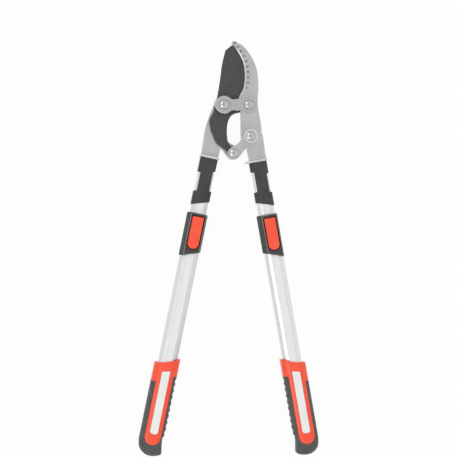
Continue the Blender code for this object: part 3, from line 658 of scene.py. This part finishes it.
def railLine(offset, rounding=None, bowed=0.0):
    # the tubes' section: flat front and back, bevels that may be bowed, corners rounded by the die
    low, high = Vector((rail["halfWidth"], rail["side"])), Vector((rail["flat"], rail["halfThick"]))
    bow = (low + high) / 2 + Vector((high.y - low.y, low.x - high.x)).normalized() * bowed
    half = [(low.x, -low.y), tuple(low), tuple(bow), tuple(high), (-high.x, high.y), (-bow.x, bow.y)]
    base = [Vector(p) for p in half] + [Vector((-x, -y)) for x, y in half]
    corners = []
    for i, point in enumerate(base):
        before = (point - base[i - 1]).normalized()
        after = (base[(i + 1) % len(base)] - point).normalized()
        way = Vector((before.y, -before.x)) + Vector((after.y, -after.x))
        corners.append(point + way * (offset / (1 + before.dot(after))))
    shape = bmesh.new()
    shape.faces.new([shape.verts.new((*p, 0)) for p in corners])
    bevel(shape, list(shape.verts), rounding or rail["rounding"], 5, "VERTICES")
    line = [tuple(v.co[:2]) for v in shape.faces[:][0].verts]
    shape.free()
    return line


def groovedLine(side, offset, rounding, depth, bowed=0.0):
    # the same section with a fine groove at the left front corner and one opposite
    line = railLine(offset, rounding, bowed)
    flat = rail["halfThick"] + offset
    result = []
    for i, point in enumerate(line):
        result.append(point)
        a, b = Vector(point), Vector(line[(i + 1) % len(line)])
        if (b - a).length < rail["flat"] or abs(abs(a.y) - flat) > 0.01:
            continue   # only the flat front and back
        way = (b - a).normalized()
        inward = Vector((0, -copysign(depth, a.y)))
        half = rail["grooveWidth"] / 2
        reach = way * (half + rail["grooveFromCorner"])
        middle = a + reach if side < 0 else b - reach
        for share, fall in rail["groove"]:
            result.append(tuple(middle + way * half * share + inward * fall))
    return result


def pinStations(foot):
    return [foot + places["flange"] + pin for pin in bracket["pins"]]


def addFoot(shape, hand):
    # flange across the tube's end, welded to the plate, and the spigot inside the tube
    side, foot, into = sides[hand], places[hand + "Foot"], -bracket[hand + "FlangeIn"]
    toHead = headPlace.inverted() @ handlePlace(side)
    corners = ((into, -1), (bracket["flangeOut"], -1), (bracket["flangeOut"], 1), (into, 1))
    box = [(x, s * bracket["flangeDepth"]) for x, s in corners]
    flange = stack([across(box, foot), across(box, foot + places["flange"])])
    endEdges = [e for e in flange.edges if abs(e.verts[0].co.z - e.verts[1].co.z) < 0.01
                and abs(e.verts[0].co.x - e.verts[1].co.x) < 0.01]
    bevel(flange, endEdges, bracket["flangeCorner"], 4)
    soften(flange, bracket["flangeRounding"])
    # the whole flange takes the paler cut steel, which is partly a painted highlight
    for face in flange.faces:
        face.material_index = 1
    addShape(shape, flange, toHead)
    line = railLine(-rail["innerWall"] - places["jawGap"])
    spigot = stack([across(line, foot + places["flange"] / 2),
                    across(line, foot + places["flange"] + bracket["spigot"])])
    return addShape(shape, spigot, toHead)


def footPoint(hand, u):   # in the middle of the flange's thickness
    local = Vector((u, -places[hand + "Foot"] - places["flange"] / 2, 0))
    return tuple((headPlace.inverted() @ handlePlace(sides[hand]) @ local)[:2])


def finishBracket(hand, outline, low, high, bolts):
    holes = [circleLine(places[bolt], hole) for bolt in bolts]
    shape = cutAndHighlightSides(plate(outline, low, high, holes, bracket["rounding"]))
    addFoot(shape, hand)
    finishPiece(hand + "Bracket", shape, headPlace, fixedBodies[hand], [hand + "_bracket"],
                ["hook", "cut"])


def makeLeftBracket():   # fixed, behind the tang
    b = bracket
    front = heights("blade")[0] - places["jawGap"]
    outline = [footPoint("left", b["footOut"]), footPoint("left", -b["footIn"])]
    outline += [b["leftNotch"]] + arcLine(places["mainBolt"], b["mainLobe"], *b["leftMainArc"])
    outline += smoothLine(b["leftInside"]) + arcLine(places["bladeBolt"], b["rearLobe"], *b["rearArc"])
    outline += smoothLine(b["leftOutside"])
    finishBracket("left", outline, front - b["thick"], front, ["bladeBolt", "mainBolt"])


def makeRightBracket():   # the lever, in front of the hook
    b = bracket
    back = heights("front_strap")[0]
    outline = [footPoint("right", -b["footIn"]), footPoint("right", b["footOut"])]
    outline += smoothLine(b["rightOutside"]) + arcLine(places["leverBolt"], b["leverLobe"], *b["leverArc"])
    outline += smoothLine(b["rightInside"]) + arcLine(places["mainBolt"], b["mainLobe"], *b["rightMainArc"])
    finishBracket("right", outline + [b["rightNotch"]], back, back + b["thick"], ["leverBolt", "mainBolt"])


makeStraps()
makeLeftBracket()
makeRightBracket()
print("straps and brackets done")


# bolts, nuts and rings

fixings = {
    "shank": 4.0,
    "tipBevel": 0.5,
    "headHeight": 4.2,
    "headEdge": 0.2,
    "socket": 3.6,
    "socketDepth": 1.3,
    "socketTurn": 0.35,
    "lip": (0.5, 0.1),       # the dimple round the socket: share of the head's radius, depth
    "bowl": 0.35,            # how far below the top the socket's mouth lies
    "dome": ((0.545, 0.0), (0.60, 0.1), (0.72, 0.46), (0.84, 0.88), (0.93, 1.5), (0.985, 2.5), (1.0, 3.6)),
    "nutRadius": 7.5,
    "nutBevel": (0.99, 0.7),   # share of the width across the flats, height
    "ringEdge": 0.25,
    "steps": 48,
    "ringSteps": 56,
}


def hexagonLine(radius, steps):   # steps on each side
    corners = circleLine((0, 0), radius, 6)
    pairs = zip(corners, corners[1:] + corners[:1])
    return [tuple(Vector(a).lerp(Vector(b), i / steps)) for a, b in pairs for i in range(steps)]


def makeBolt(name, node, spot, body, headRadius):
    low, high = heights(node)
    f, r = fixings, headRadius
    seat, mouthAt = high - f["headHeight"], high - f["bowl"]
    profile = [(r * f["lip"][0], high - f["lip"][1])]
    profile += smoothLine([(r * share, high - fall) for share, fall in f["dome"]], 4)
    profile += [(r, seat + f["headEdge"]), (r - f["headEdge"], seat), (f["shank"], seat),
                (f["shank"], low + f["tipBevel"]), (f["shank"] - f["tipBevel"], low), (0, low)]
    shape = turned(profile, f["steps"])
    rim = openRims(shape)
    mouth = ringOf(shape, level(hexagonLine(f["socket"], f["steps"] // 6), mouthAt))
    bmesh.ops.bridge_loops(shape, edges=rim + mouth)
    walls = bmesh.ops.extrude_edge_only(shape, edges=mouth)
    floorVerts = [v for v in walls["geom"] if isinstance(v, bmesh.types.BMVert)]
    bmesh.ops.translate(shape, verts=floorVerts, vec=(0, 0, -f["socketDepth"]))
    floorEdges = [e for e in walls["geom"] if isinstance(e, bmesh.types.BMEdge)]
    bmesh.ops.contextual_create(shape, geom=floorEdges)
    for face in shape.faces:   # the socket's walls and floor are dull and darker: partly dull plating, partly painted shade
        face.material_index = int(all(v in floorVerts or v.co.xy.length < f["socket"] + 0.01
                                      and v.co.z > mouthAt - 0.5 for v in face.verts))
    place = spotPlace(spot) @ Matrix.Rotation(f["socketTurn"], 4, "Z")
    finishPiece(name, shape, place, body, [node], ["zinc", "socket"], crease=30.0)


def makeNut(name, node, spot, body):
    low, high = heights(node)
    hexagon = hexagonLine(fixings["nutRadius"], 8)
    share, drop = fixings["nutBevel"]
    limit = fixings["nutRadius"] * cos(pi / 6) * share
    trimmed = [tuple(Vector(p) * min(1.0, limit / Vector(p).length)) for p in hexagon]
    shape = stack([level(trimmed, low), level(hexagon, low + drop),
                   level(hexagon, high - drop), level(trimmed, high)])
    pierce(shape, [circleLine((0, 0), hole, 36)])
    finishPiece(name, shape, spotPlace(spot), body, [node], ["zinc"], crease=22.0)


def makeRing(name, node, spot, body, radius):
    low, high = heights(node)
    edge = min(fixings["ringEdge"], (high - low) / 4)
    profile = [(hole, low), (radius - edge, low), (radius, low + edge), (radius, high - edge),
               (radius - edge, high), (hole, high), (hole, low)]
    shape = turned(profile, fixings["ringSteps"])
    finishPiece(name, shape, spotPlace(spot), body, [node], ["zinc"], crease=30.0)


pivots = {     # body of the fixings, radius of the bolt's head, the ring's name and radius
    "blade": ("fixed_side", 8.0, "Spacer", 10.0),
    "hook": ("straps", 8.0, "Bush", 7.5),
    "lever": ("lever_side", 8.5, "Washer", 12.5),
    "main": ("fixed_side", 8.0, "Spacer", 8.5),
}
for pivot, (body, headRadius, ring, ringRadius) in pivots.items():
    spot = places[pivot + "Bolt"]
    makeBolt(pivot + "Bolt", pivot + "_bolt", spot, body, headRadius)
    makeRing(pivot + ring, f"{pivot}_{ring.lower()}", spot, body, ringRadius)
    if pivot != "lever":   # the lever's bolt ends in the hook
        makeNut(pivot + "Nut", pivot + "_nut", spot, body)
print("fixings done")


# tubes and sleeves

tube = {"innerEnd": 430.0, "outerTop": 146.0, "outerEnd": 511.0, "lockAt": 124.0, "lockPitch": 50.0,
        "lockHoles": 5, "lockRadius": 3.4, "innerRounding": 1.2, "innerBoreRounding": 0.6,
        "outerRounding": 0.9}
sleeve = {"wall": 1.4, "halfWidth": 14.5, "trim": 0.2, "tongue": 10.4, "windowTopIn": 36.8,
          "windowTopOut": 41.8, "windowEndIn": 71.8, "windowEndOut": 74.8, "endIn": 89.1, "endOut": 97.7,
          "drop": 1.2, "rounding": 2.2, "spare": 1.0}   # the spare is cut away


def hollow(outer, inner, start, end):
    rings = [across(outer, start), across(outer, end), across(inner, end), across(inner, start)]
    shape = stack(rings + rings[:1])
    dropFaces(shape, endCaps(shape))
    bmesh.ops.remove_doubles(shape, verts=shape.verts, dist=0.001)
    return faceOut(shape)


def makeTubes(hand):
    side, foot, gap = sides[hand], places[hand + "Foot"], rail["gap"]
    finish = "aluminium" + hand.capitalize()
    outer = groovedLine(side, 0.0, tube["innerRounding"], rail["grooveDepth"])
    inner = groovedLine(side, -rail["innerWall"], tube["innerBoreRounding"], 0.0)
    shape = hollow(outer, inner, foot + places["flange"] + gap, tube["innerEnd"])
    locks = [tube["lockAt"] + i * tube["lockPitch"] for i in range(tube["lockHoles"])]
    for sign in (1, -1):
        spots = [(s, bracket["pinRadius"]) for s in pinStations(foot)]
        if sign > 0:
            spots += [(s, tube["lockRadius"]) for s in locks]
        rims = []
        for z in (sign * rail["halfThick"], sign * (rail["halfThick"] - rail["innerWall"])):
            rings = [ringOf(shape, level(circleLine((0, -s), r, 28), z)) for s, r in spots]
            openFace(shape, flatFace(shape, z), rings)
            rims.append(rings)
        joinRims(shape, rims)
    finishOnHandle(hand, "InnerTube", shape, fixedBodies, "inner_tube", [finish])
    wall, rounding = rail["outerWall"], tube["outerRounding"]
    outer = groovedLine(side, gap + wall, rounding, rail["grooveDepth"], rail["bow"])
    inner = groovedLine(side, gap, rounding, 0.0)
    shape = hollow(outer, inner, tube["outerTop"], tube["outerEnd"])
    finishOnHandle(hand, "OuterTube", shape, slideBodies, "outer_tube", [finish])


def makeSleeve(hand):
    # a ring round the tube with a window in each side, cut from a longer one; its lower end slants
    s, gap = sleeve, rail["gap"]
    collar = rail["halfWidth"] + gap + s["wall"] + s["trim"]
    top = places[hand + "Foot"] + places["flange"] + gap
    outline = [(-s["halfWidth"], top), (-s["halfWidth"], s["windowTopIn"]),
               (-s["tongue"], s["windowTopIn"] + s["drop"]), (-s["tongue"], s["windowEndIn"] - s["drop"]),
               (-collar, s["windowEndIn"]), (-collar, s["endIn"]), (collar, s["endOut"]),
               (collar, s["windowEndOut"]), (s["tongue"], s["windowEndOut"] - s["drop"]),
               (s["tongue"], s["windowTopOut"] + s["drop"]), (s["halfWidth"], s["windowTopOut"]),
               (s["halfWidth"], top)]
    outline = [(x, -y) for x, y in outline]
    depth = rail["halfThick"] + gap + s["wall"] + s["spare"]
    cutter = stack([level(outline, -depth), level(outline, depth)])
    outer, inner = railLine(gap + s["wall"], s["rounding"]), railLine(gap, rail["boreRounding"])
    shape = hollow(outer, inner, top - s["spare"], s["endOut"] + 2 * s["spare"])
    shape = combine(shape, cutter, "INTERSECT")
    bmesh.ops.dissolve_limit(shape, angle_limit=0.001, verts=shape.verts, edges=shape.edges)
    finishOnHandle(hand, "Sleeve", shape, fixedBodies, "tube_sleeve", ["sleeve"],
                   crease=30.0)


for hand in sides:
    makeTubes(hand)
    makeSleeve(hand)
print("tubes and sleeves done")


# lock housings and buttons

housing = {
    "top": 111.2, "endIn": 174.9, "endOut": 185.5, "halfWidth": 17.0, "front": 22.0, "frontFlat": 13.0,
    "back": 14.2, "backFlat": 10.0, "sideLow": -7.5, "sideHigh": 3.5, "rounding": 1.6, "seatFrom": 145.7,
    "floor": 14.3, "wellAt": 124.0, "wellRadius": 4.0, "recessRounding": 1.0, "rimHighlightDepth": 1.1,
}
button = {
    "top": 117.0, "end": 171.2, "halfWidth": 9.5, "gap": 1.3, "corner": 1.2, "height": 22.3, "thick": 4.5,
    "rounding": 0.9, "pivotAt": 140.0, "pivotHeight": 17.6, "lug": 2.8, "lugHalfWidth": 6.0,
    "pinRadius": 3.0, "pinBevel": 0.5,
}


def buttonLine(grow):
    # square top and round lower end, seen from the front
    b = button
    half, top = b["halfWidth"] + grow, b["top"] - grow
    turn = b["end"] - b["halfWidth"]
    corner = max(0.2, b["corner"] + grow)
    line = arcLine((half - corner, -top - corner), corner, 0, 90, 6)
    line += arcLine((-half + corner, -top - corner), corner, 90, 180, 6)
    return line + arcLine((0, -turn), half, 180, 360, 32)


def slanted(section):   # the housing's lower end is longer on the outside
    h, w = housing, housing["halfWidth"]
    slope = (h["endOut"] - h["endIn"]) / (2 * w)
    return [(x, -h["endIn"] - slope * (x + w), z) for x, z in section]


def boreHousing(shape):   # narrow round the inner tube, wide below the seat of the outer tube
    h, gap = housing, rail["gap"]
    ends = [f for f in shape.faces if len(f.verts) >= 8 and abs(f.normal.y) > 0.9]
    topCap = max(ends, key=lambda f: f.calc_center_median().y)
    lowCap = min(ends, key=lambda f: f.calc_center_median().y)
    narrow = railLine(gap, rail["boreRounding"])
    wide = railLine(2 * gap + rail["outerWall"], rail["wideRounding"], rail["bow"])
    bore = stack([across(narrow, h["top"]), across(narrow, h["seatFrom"]), across(wide, h["seatFrom"]),
                  slanted(wide)])
    dropFaces(bore, endCaps(bore))
    addShape(shape, bore)
    rims = openRims(shape)
    openFace(shape, topCap, [[e for e in rims if e.verts[0].co.y > -h["seatFrom"]]])
    openFace(shape, lowCap, [[e for e in rims if e.verts[0].co.y < -h["seatFrom"]]])


def sinkRecess(shape):   # for the button, with a well for its lock pin down to the bore
    h = housing
    front = flatFace(shape, h["front"])
    turns = [radians(a) for a in (0, 30, 60, 90)]
    rings = [level(buttonLine(button["gap"] + h["recessRounding"] * (1 - sin(t))),
                   h["front"] - h["recessRounding"] * (1 - cos(t))) for t in turns]
    rings.append(level(buttonLine(button["gap"]), h["floor"]))
    recess = stack(rings)
    dropFaces(recess, [max(endCaps(recess), key=lambda f: f.verts[0].co.z)])
    addShape(shape, recess)
    openFace(shape, front, [[e for e in openRims(shape) if e.verts[0].co.z > h["front"] - 0.01]])
    well = circleLine((0, -h["wellAt"]), h["wellRadius"], 32)
    rims = []
    for z in (h["floor"], rail["halfThick"] + rail["gap"]):
        rims.append([ringOf(shape, level(well, z))])
        openFace(shape, flatFace(shape, z), rims[-1])
    joinRims(shape, rims)


def makeHousing(hand):
    h, w = housing, housing["halfWidth"]
    section = [(h["backFlat"], -h["back"]), (w, h["sideLow"]), (w, h["sideHigh"]),
               (h["frontFlat"], h["front"])]
    section += [(-x, z) for x, z in reversed(section)]
    shape = stack([across(section, h["top"]), slanted(section)])
    soften(shape, h["rounding"], 5, bluntest=20.0)
    boreHousing(shape)
    sinkRecess(shape)
    for face in shape.faces:   # the front's rims are painted paler: a painted highlight on the rounded rims
        slants, height = 0.3 < face.normal.z < 0.97, face.calc_center_median().z
        face.material_index = int(slants and height > h["front"] - h["rimHighlightDepth"])
    finishOnHandle(hand, "LockHousing", shape, slideBodies, "lock_housing",
                   ["dark", "rubbed"], crease=40.0)


def makeButton(hand):
    b = button
    base = b["height"] - b["thick"]
    turns = [radians(a) for a in (0, 22, 45, 68, 90)]
    shape = stack([level(buttonLine(0.0), base)] +
                  [level(buttonLine(-b["rounding"] * (1 - cos(t))),
                         b["height"] - b["rounding"] * (1 - sin(t))) for t in turns])
    eye = circleLine((-b["pivotAt"], b["pivotHeight"]), b["lug"], 24)
    addShape(shape, stack([[(x, y, z) for y, z in eye] for x in (-b["lugHalfWidth"], b["lugHalfWidth"])]))
    pin = circleLine((0, -housing["wellAt"]), b["pinRadius"], 24)
    small = circleLine((0, -housing["wellAt"]), b["pinRadius"] - b["pinBevel"], 24)
    tip = rail["halfThick"] + rail["gap"]
    rings = [level(small, tip), level(pin, tip + b["pinBevel"]), level(pin, base + b["thick"] / 2)]
    addShape(shape, stack(rings))
    finishOnHandle(hand, "LockButton", shape, buttonBodies, "lock_button", ["orange"],
                   crease=40.0)


for hand in sides:
    makeHousing(hand)
    makeButton(hand)
print("lock housings and buttons done")


# grips

grip = {
    "top": 355.5, "slant": 12.9, "collar": 30.2, "length": 167.28, "pommel": 19.3, "tongue": 13.6,
    "halfWidth": 20.5, "halfThick": 17.0, "corner": 11.0, "cornerAcross": 13.6, "crown": 1.6, "shift": 0.5,
    "seam": 0.3, "tubeFromEnd": 11.8, "spare": 12.0, "boreSpare": 20.0, "past": 1.0, "sideEnds": 33.0,
    "levels": 22, "domeAt": 21.0, "domeShare": 0.5,
    "fingers": 10, "fingerDepth": 1.4, "fingerFromStep": 2.3, "fingerFromEnd": 26.8, "fingerFade": 8.0,
    "drawn": 2.8, "drawnShare": 0.22,      # the inner side is drawn in towards the end
    "inlayHalfWidth": 6.7, "inlayFromTop": 22.5, "inlaySlant": 2.8, "inlayFromEnd": 37.6, "inlayCorner": 4.5,
    "inlayThick": 1.6, "inlayRounding": 0.25,
    "topEdge": ((-1.0, 0.0), (-0.45, 0.38), (0.12, 0.68), (1.0, 1.0)),   # shares of half width and slant
    "endPoints": ((20.1, 21.8), (16.8, 10.0), (10.0, 3.4), (3.0, 0.4), (-5.0, 0.0), (-12.8, 1.6),
                  (-18.7, 4.0)),     # across, and up from the end
    "heelPoints": ((-18.7, 4.0), (-20.4, 6.0), (-20.6, 9.0), (-19.2, 17.0)),
}
gripEnd = grip["top"] + grip["length"]
gripStep = grip["top"] + grip["collar"]


def innerSide(share):   # how far the grip's inner side is drawn in, and how deep its finger hollow is
    g = grip
    drawn = g["drawn"] * max(0.0, 1 - share / g["drawnShare"]) ** 2 if share > 0 else g["drawn"]
    wave = 1 - cos(2 * pi * g["fingers"] * share)
    return drawn, g["fingerDepth"] * wave / 2 if 0 < share < 1 else 0.0


def gripPlan():
    # outline of the whole grip from the front, and the share of each point in the finger hollows
    g, w, end, spare = grip, grip["halfWidth"], gripEnd, grip["spare"]
    endLine = [(w, end - g["sideEnds"])] + [(x, end - up) for x, up in g["endPoints"]]
    outer = [(w, g["top"] - spare + (endLine[0][1] - g["top"] + spare) * i / 40) for i in range(40)]
    outer += smoothLine(endLine)
    heelTop = end - g["fingerFromEnd"]
    outer += smoothLine([(x, end - up) for x, up in g["heelPoints"]] + [(-w + g["drawn"], heelTop)])[1:-1]
    start = gripStep + g["fingerFromStep"]
    count = g["fingers"] * 12
    inner = []
    for i in range(count + 1):
        station = heelTop + (start - heelTop) * i / count
        drawn, dent = innerSide((heelTop - station) / (heelTop - start))
        inner.append((-w + drawn, station, dent))
    inner += [(-w, start - (start - g["top"] + spare) * (i + 1) / 8, 0.0) for i in range(8)]
    return [(x, min(y, end), 0.0) for x, y in outer] + inner


def gripBody():
    # rings from the back to the front, rounded towards the flat faces and over the end
    g = grip
    plan = gripPlan()
    rings = []
    for i in range(g["levels"] + 1):
        turn = pi * (i / g["levels"] - 0.5)
        z = g["halfThick"] * sin(turn)
        rise = max(0.0, abs(z) - (g["halfThick"] - g["corner"])) / g["corner"]
        inset = g["cornerAcross"] * (1 - max(0.0, 1 - rise ** g["crown"]) ** (1 / g["crown"]))
        narrow = 1 - inset / g["halfWidth"]
        shorter = 1 - g["domeShare"] * inset / g["domeAt"]
        fade = max(0.0, 1 - inset / g["fingerFade"])
        ring = []
        for x, s, dent in plan:
            past = max(0.0, s - (gripEnd - g["domeAt"]))
            ring.append(((x + dent * fade) * narrow + g["shift"], -(s - past + past * shorter), z))
        rings.append(ring)
    return stack(rings)


def prism(outline, low, high):
    outline = [(x + grip["shift"], -s) for x, s in outline]
    return stack([level(outline, low), level(outline, high)])


def inlayLine(grow):
    g = grip
    half, end = g["inlayHalfWidth"] + grow, gripEnd - g["inlayFromEnd"] + grow
    top, c = g["top"] + g["inlayFromTop"] - grow, g["inlayCorner"]
    line = [(-half, top), (half, top + g["inlaySlant"])]
    line += arcLine((half - c, end - c), c, 0, 90, 10)
    return line + arcLine((-half + c, end - c), c, 90, 180, 10)


def gripPart(outline):   # the share of the grip inside an outline, bored for the tube
    g = grip
    depth = g["halfThick"] + g["past"]
    shape = combine(gripBody(), prism(outline, -depth, depth), "INTERSECT")
    line = railLine(2 * rail["gap"] + rail["outerWall"], rail["wideRounding"], rail["bow"])
    bore = stack([across(line, g["top"] - g["boreSpare"]),
                  across(line, gripEnd - g["tubeFromEnd"] + rail["gap"])])
    return combine(shape, bore, "DIFFERENCE")


def makeGrip(hand):
    g, half, top, slant, seam = grip, grip["tongue"], grip["top"], grip["slant"], grip["seam"]
    w = g["halfWidth"] + g["past"]
    middle = (0, gripEnd - g["pommel"] - half)   # of the tongue's round end
    floorAt = g["halfThick"] - g["inlayThick"]
    outline = smoothLine([(x * w, top + y * slant) for x, y in g["topEdge"]], 8)
    outline += [(w, gripStep + slant), (half, gripStep + slant)]
    outline += arcLine(middle, half, 0, 180, 32) + [(-half, gripStep), (-w, gripStep)]
    recess = prism(inlayLine(seam), floorAt - seam, g["halfThick"] + g["past"])
    core = combine(gripPart(outline), recess, "DIFFERENCE")
    finishOnHandle(hand, "GripCore", core, slideBodies, "grip_core", ["orange"],
                   crease=32.0)
    outline = [(-w, gripStep + seam), (-half - seam, gripStep + seam)]
    outline += arcLine(middle, half + seam, 180, 0, 32)
    outline += [(half + seam, gripStep + slant + seam), (w, gripStep + slant + seam)]
    outline += [(w, gripEnd + 2 * g["past"]), (-w, gripEnd + 2 * g["past"])]
    skin = gripPart(outline)
    finishOnHandle(hand, "GripSkin", skin, slideBodies, "grip_overmould", ["soft"],
                   crease=32.0)
    inlay = soften(prism(inlayLine(0.0), floorAt, g["halfThick"]), g["inlayRounding"])
    finishOnHandle(hand, "GripInlay", inlay, slideBodies, "grip_inlay", ["pale"])


for hand in sides:
    makeGrip(hand)
print("grips done")


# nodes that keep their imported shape

kept = {"tube_pin_1": "zinc", "tube_pin_2": "zinc", "tube_plug": "plug", "button_pin": "plug",
        "button_spring": "zinc"}
for hand in sides:
    for node, finish in kept.items():
        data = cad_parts[f"{hand}_{node}"].data
        data.materials.clear()
        data.materials.append(surfaces[finish])
print("kept nodes dressed")


# floor, light and camera

studio = {
    "floorHalf": 4.0,
    "world": 0.76,
    "floorWhite": 0.94,      # how much of the floor is plain white where the camera or a mirror sees it
    "sparkle": (             # small bright lamps that only show as reflections
        ((-1.24, 1.38, 2.0), 0.42, 11.0),
        ((-1.16, -0.80, 2.11), 0.36, 10.0),
    ),
    "lamps": (               # place, size, brightness of the lamp's face
        ((0.0, 0.0, 3.2), 3.4, 0.34),
        ((-2.2, 0.4, 2.1), 1.7, 0.25),
        ((-1.95, -0.91, 2.05), 0.9, 2.7),
        ((-3.0, 0.0, 0.75), 1.4, 0.18),
        ((3.0, 0.0, 0.8), 1.6, 0.32),
    ),
}
lens = {"focal": 112.3, "sensor": 36.0, "away": 2.4, "yaw": 8.45, "roll": 0.82, "aimDown": 0.2,
        "aimAcross": -0.00505, "aimUp": 0.0738, "near": 0.05, "far": 20.0}


def seenDirectly(tree):   # 1 for camera, mirror and glass rays
    ray = addNode(tree, "LightPath", {})
    first = addNode(tree, "Math", {"operation": "MAXIMUM"},
                    {0: ray["Is Camera Ray"], 1: ray["Is Glossy Ray"]})[0]
    return addNode(tree, "Math", {"operation": "MAXIMUM"}, {0: first, 1: ray["Is Transmission Ray"]})[0]


def makeFloor():
    shape = bmesh.new()
    bmesh.ops.create_grid(shape, x_segments=1, y_segments=1, size=studio["floorHalf"])
    data = toMesh("floor", shape)
    material = bpy.data.materials.new("paperFloor")
    material.use_nodes = True
    tree = material.node_tree
    tree.nodes.clear()
    paper = addNode(tree, "BsdfDiffuse", {"Color": fromHex("#F6F6F6")})[0]
    white = addNode(tree, "Emission", {"Color": (1, 1, 1, 1), "Strength": 1.0})[0]
    whiteness = {"operation": "MULTIPLY", 1: studio["floorWhite"]}
    share = addNode(tree, "Math", whiteness, {0: seenDirectly(tree)})[0]
    mix = addNode(tree, "MixShader", {}, {0: share, 1: paper, 2: white})[0]
    addNode(tree, "OutputMaterial", {}, {"Surface": mix})
    data.materials.append(material)
    addObject("floor", data)


def makeWorld():
    world = bpy.data.worlds.new("studio")
    world.use_nodes = True
    tree = world.node_tree
    tree.nodes.clear()
    ray = addNode(tree, "LightPath", {})
    strength = addNode(tree, "MapRange", {"To Min": studio["world"], "To Max": 1.0},
                       {"Value": ray["Is Camera Ray"]})[0]
    sky = addNode(tree, "Background", {"Color": (1, 1, 1, 1)}, {"Strength": strength})[0]
    addNode(tree, "OutputWorld", {}, {"Surface": sky})
    bpy.context.scene.world = world


def makeLamps():
    for number, (place, size, brightness) in enumerate(studio["lamps"] + studio["sparkle"], 1):
        data = bpy.data.lights.new(f"softbox{number}", "AREA")
        data.size = size
        data.energy = brightness * pi * size ** 2
        lamp = addObject(f"softbox{number}", data)
        lamp.location = place
        lamp.rotation_mode = "QUATERNION"
        lamp.rotation_quaternion = (-Vector(place)).to_track_quat("-Z", "Y")
        lamp.visible_diffuse = number <= len(studio["lamps"])


def makeCamera():
    yaw, roll = radians(lens["yaw"]), radians(lens["roll"])
    back = Vector((-sin(yaw), 0, cos(yaw)))
    east, north = Vector((cos(yaw), 0, sin(yaw))), Vector((0, 1, 0))
    right = east * cos(roll) + north * sin(roll)
    up = north * cos(roll) - east * sin(roll)
    aim = headMiddle - north * lens["aimDown"] + right * lens["aimAcross"] + up * lens["aimUp"]
    data = bpy.data.cameras.new("camera")
    data.lens = lens["focal"]
    data.sensor_width = lens["sensor"]
    data.clip_start = lens["near"]
    data.clip_end = lens["far"]
    camera = addObject("camera", data)
    place = Matrix((right, up, back)).transposed().to_4x4()
    place.translation = aim + back * lens["away"]
    camera.matrix_world = place
    bpy.context.scene.camera = camera


makeFloor()
makeWorld()
makeLamps()
makeCamera()
bpy.context.scene.view_settings.view_transform = "Standard"

bpy.context.view_layer.update()
print("scene done")
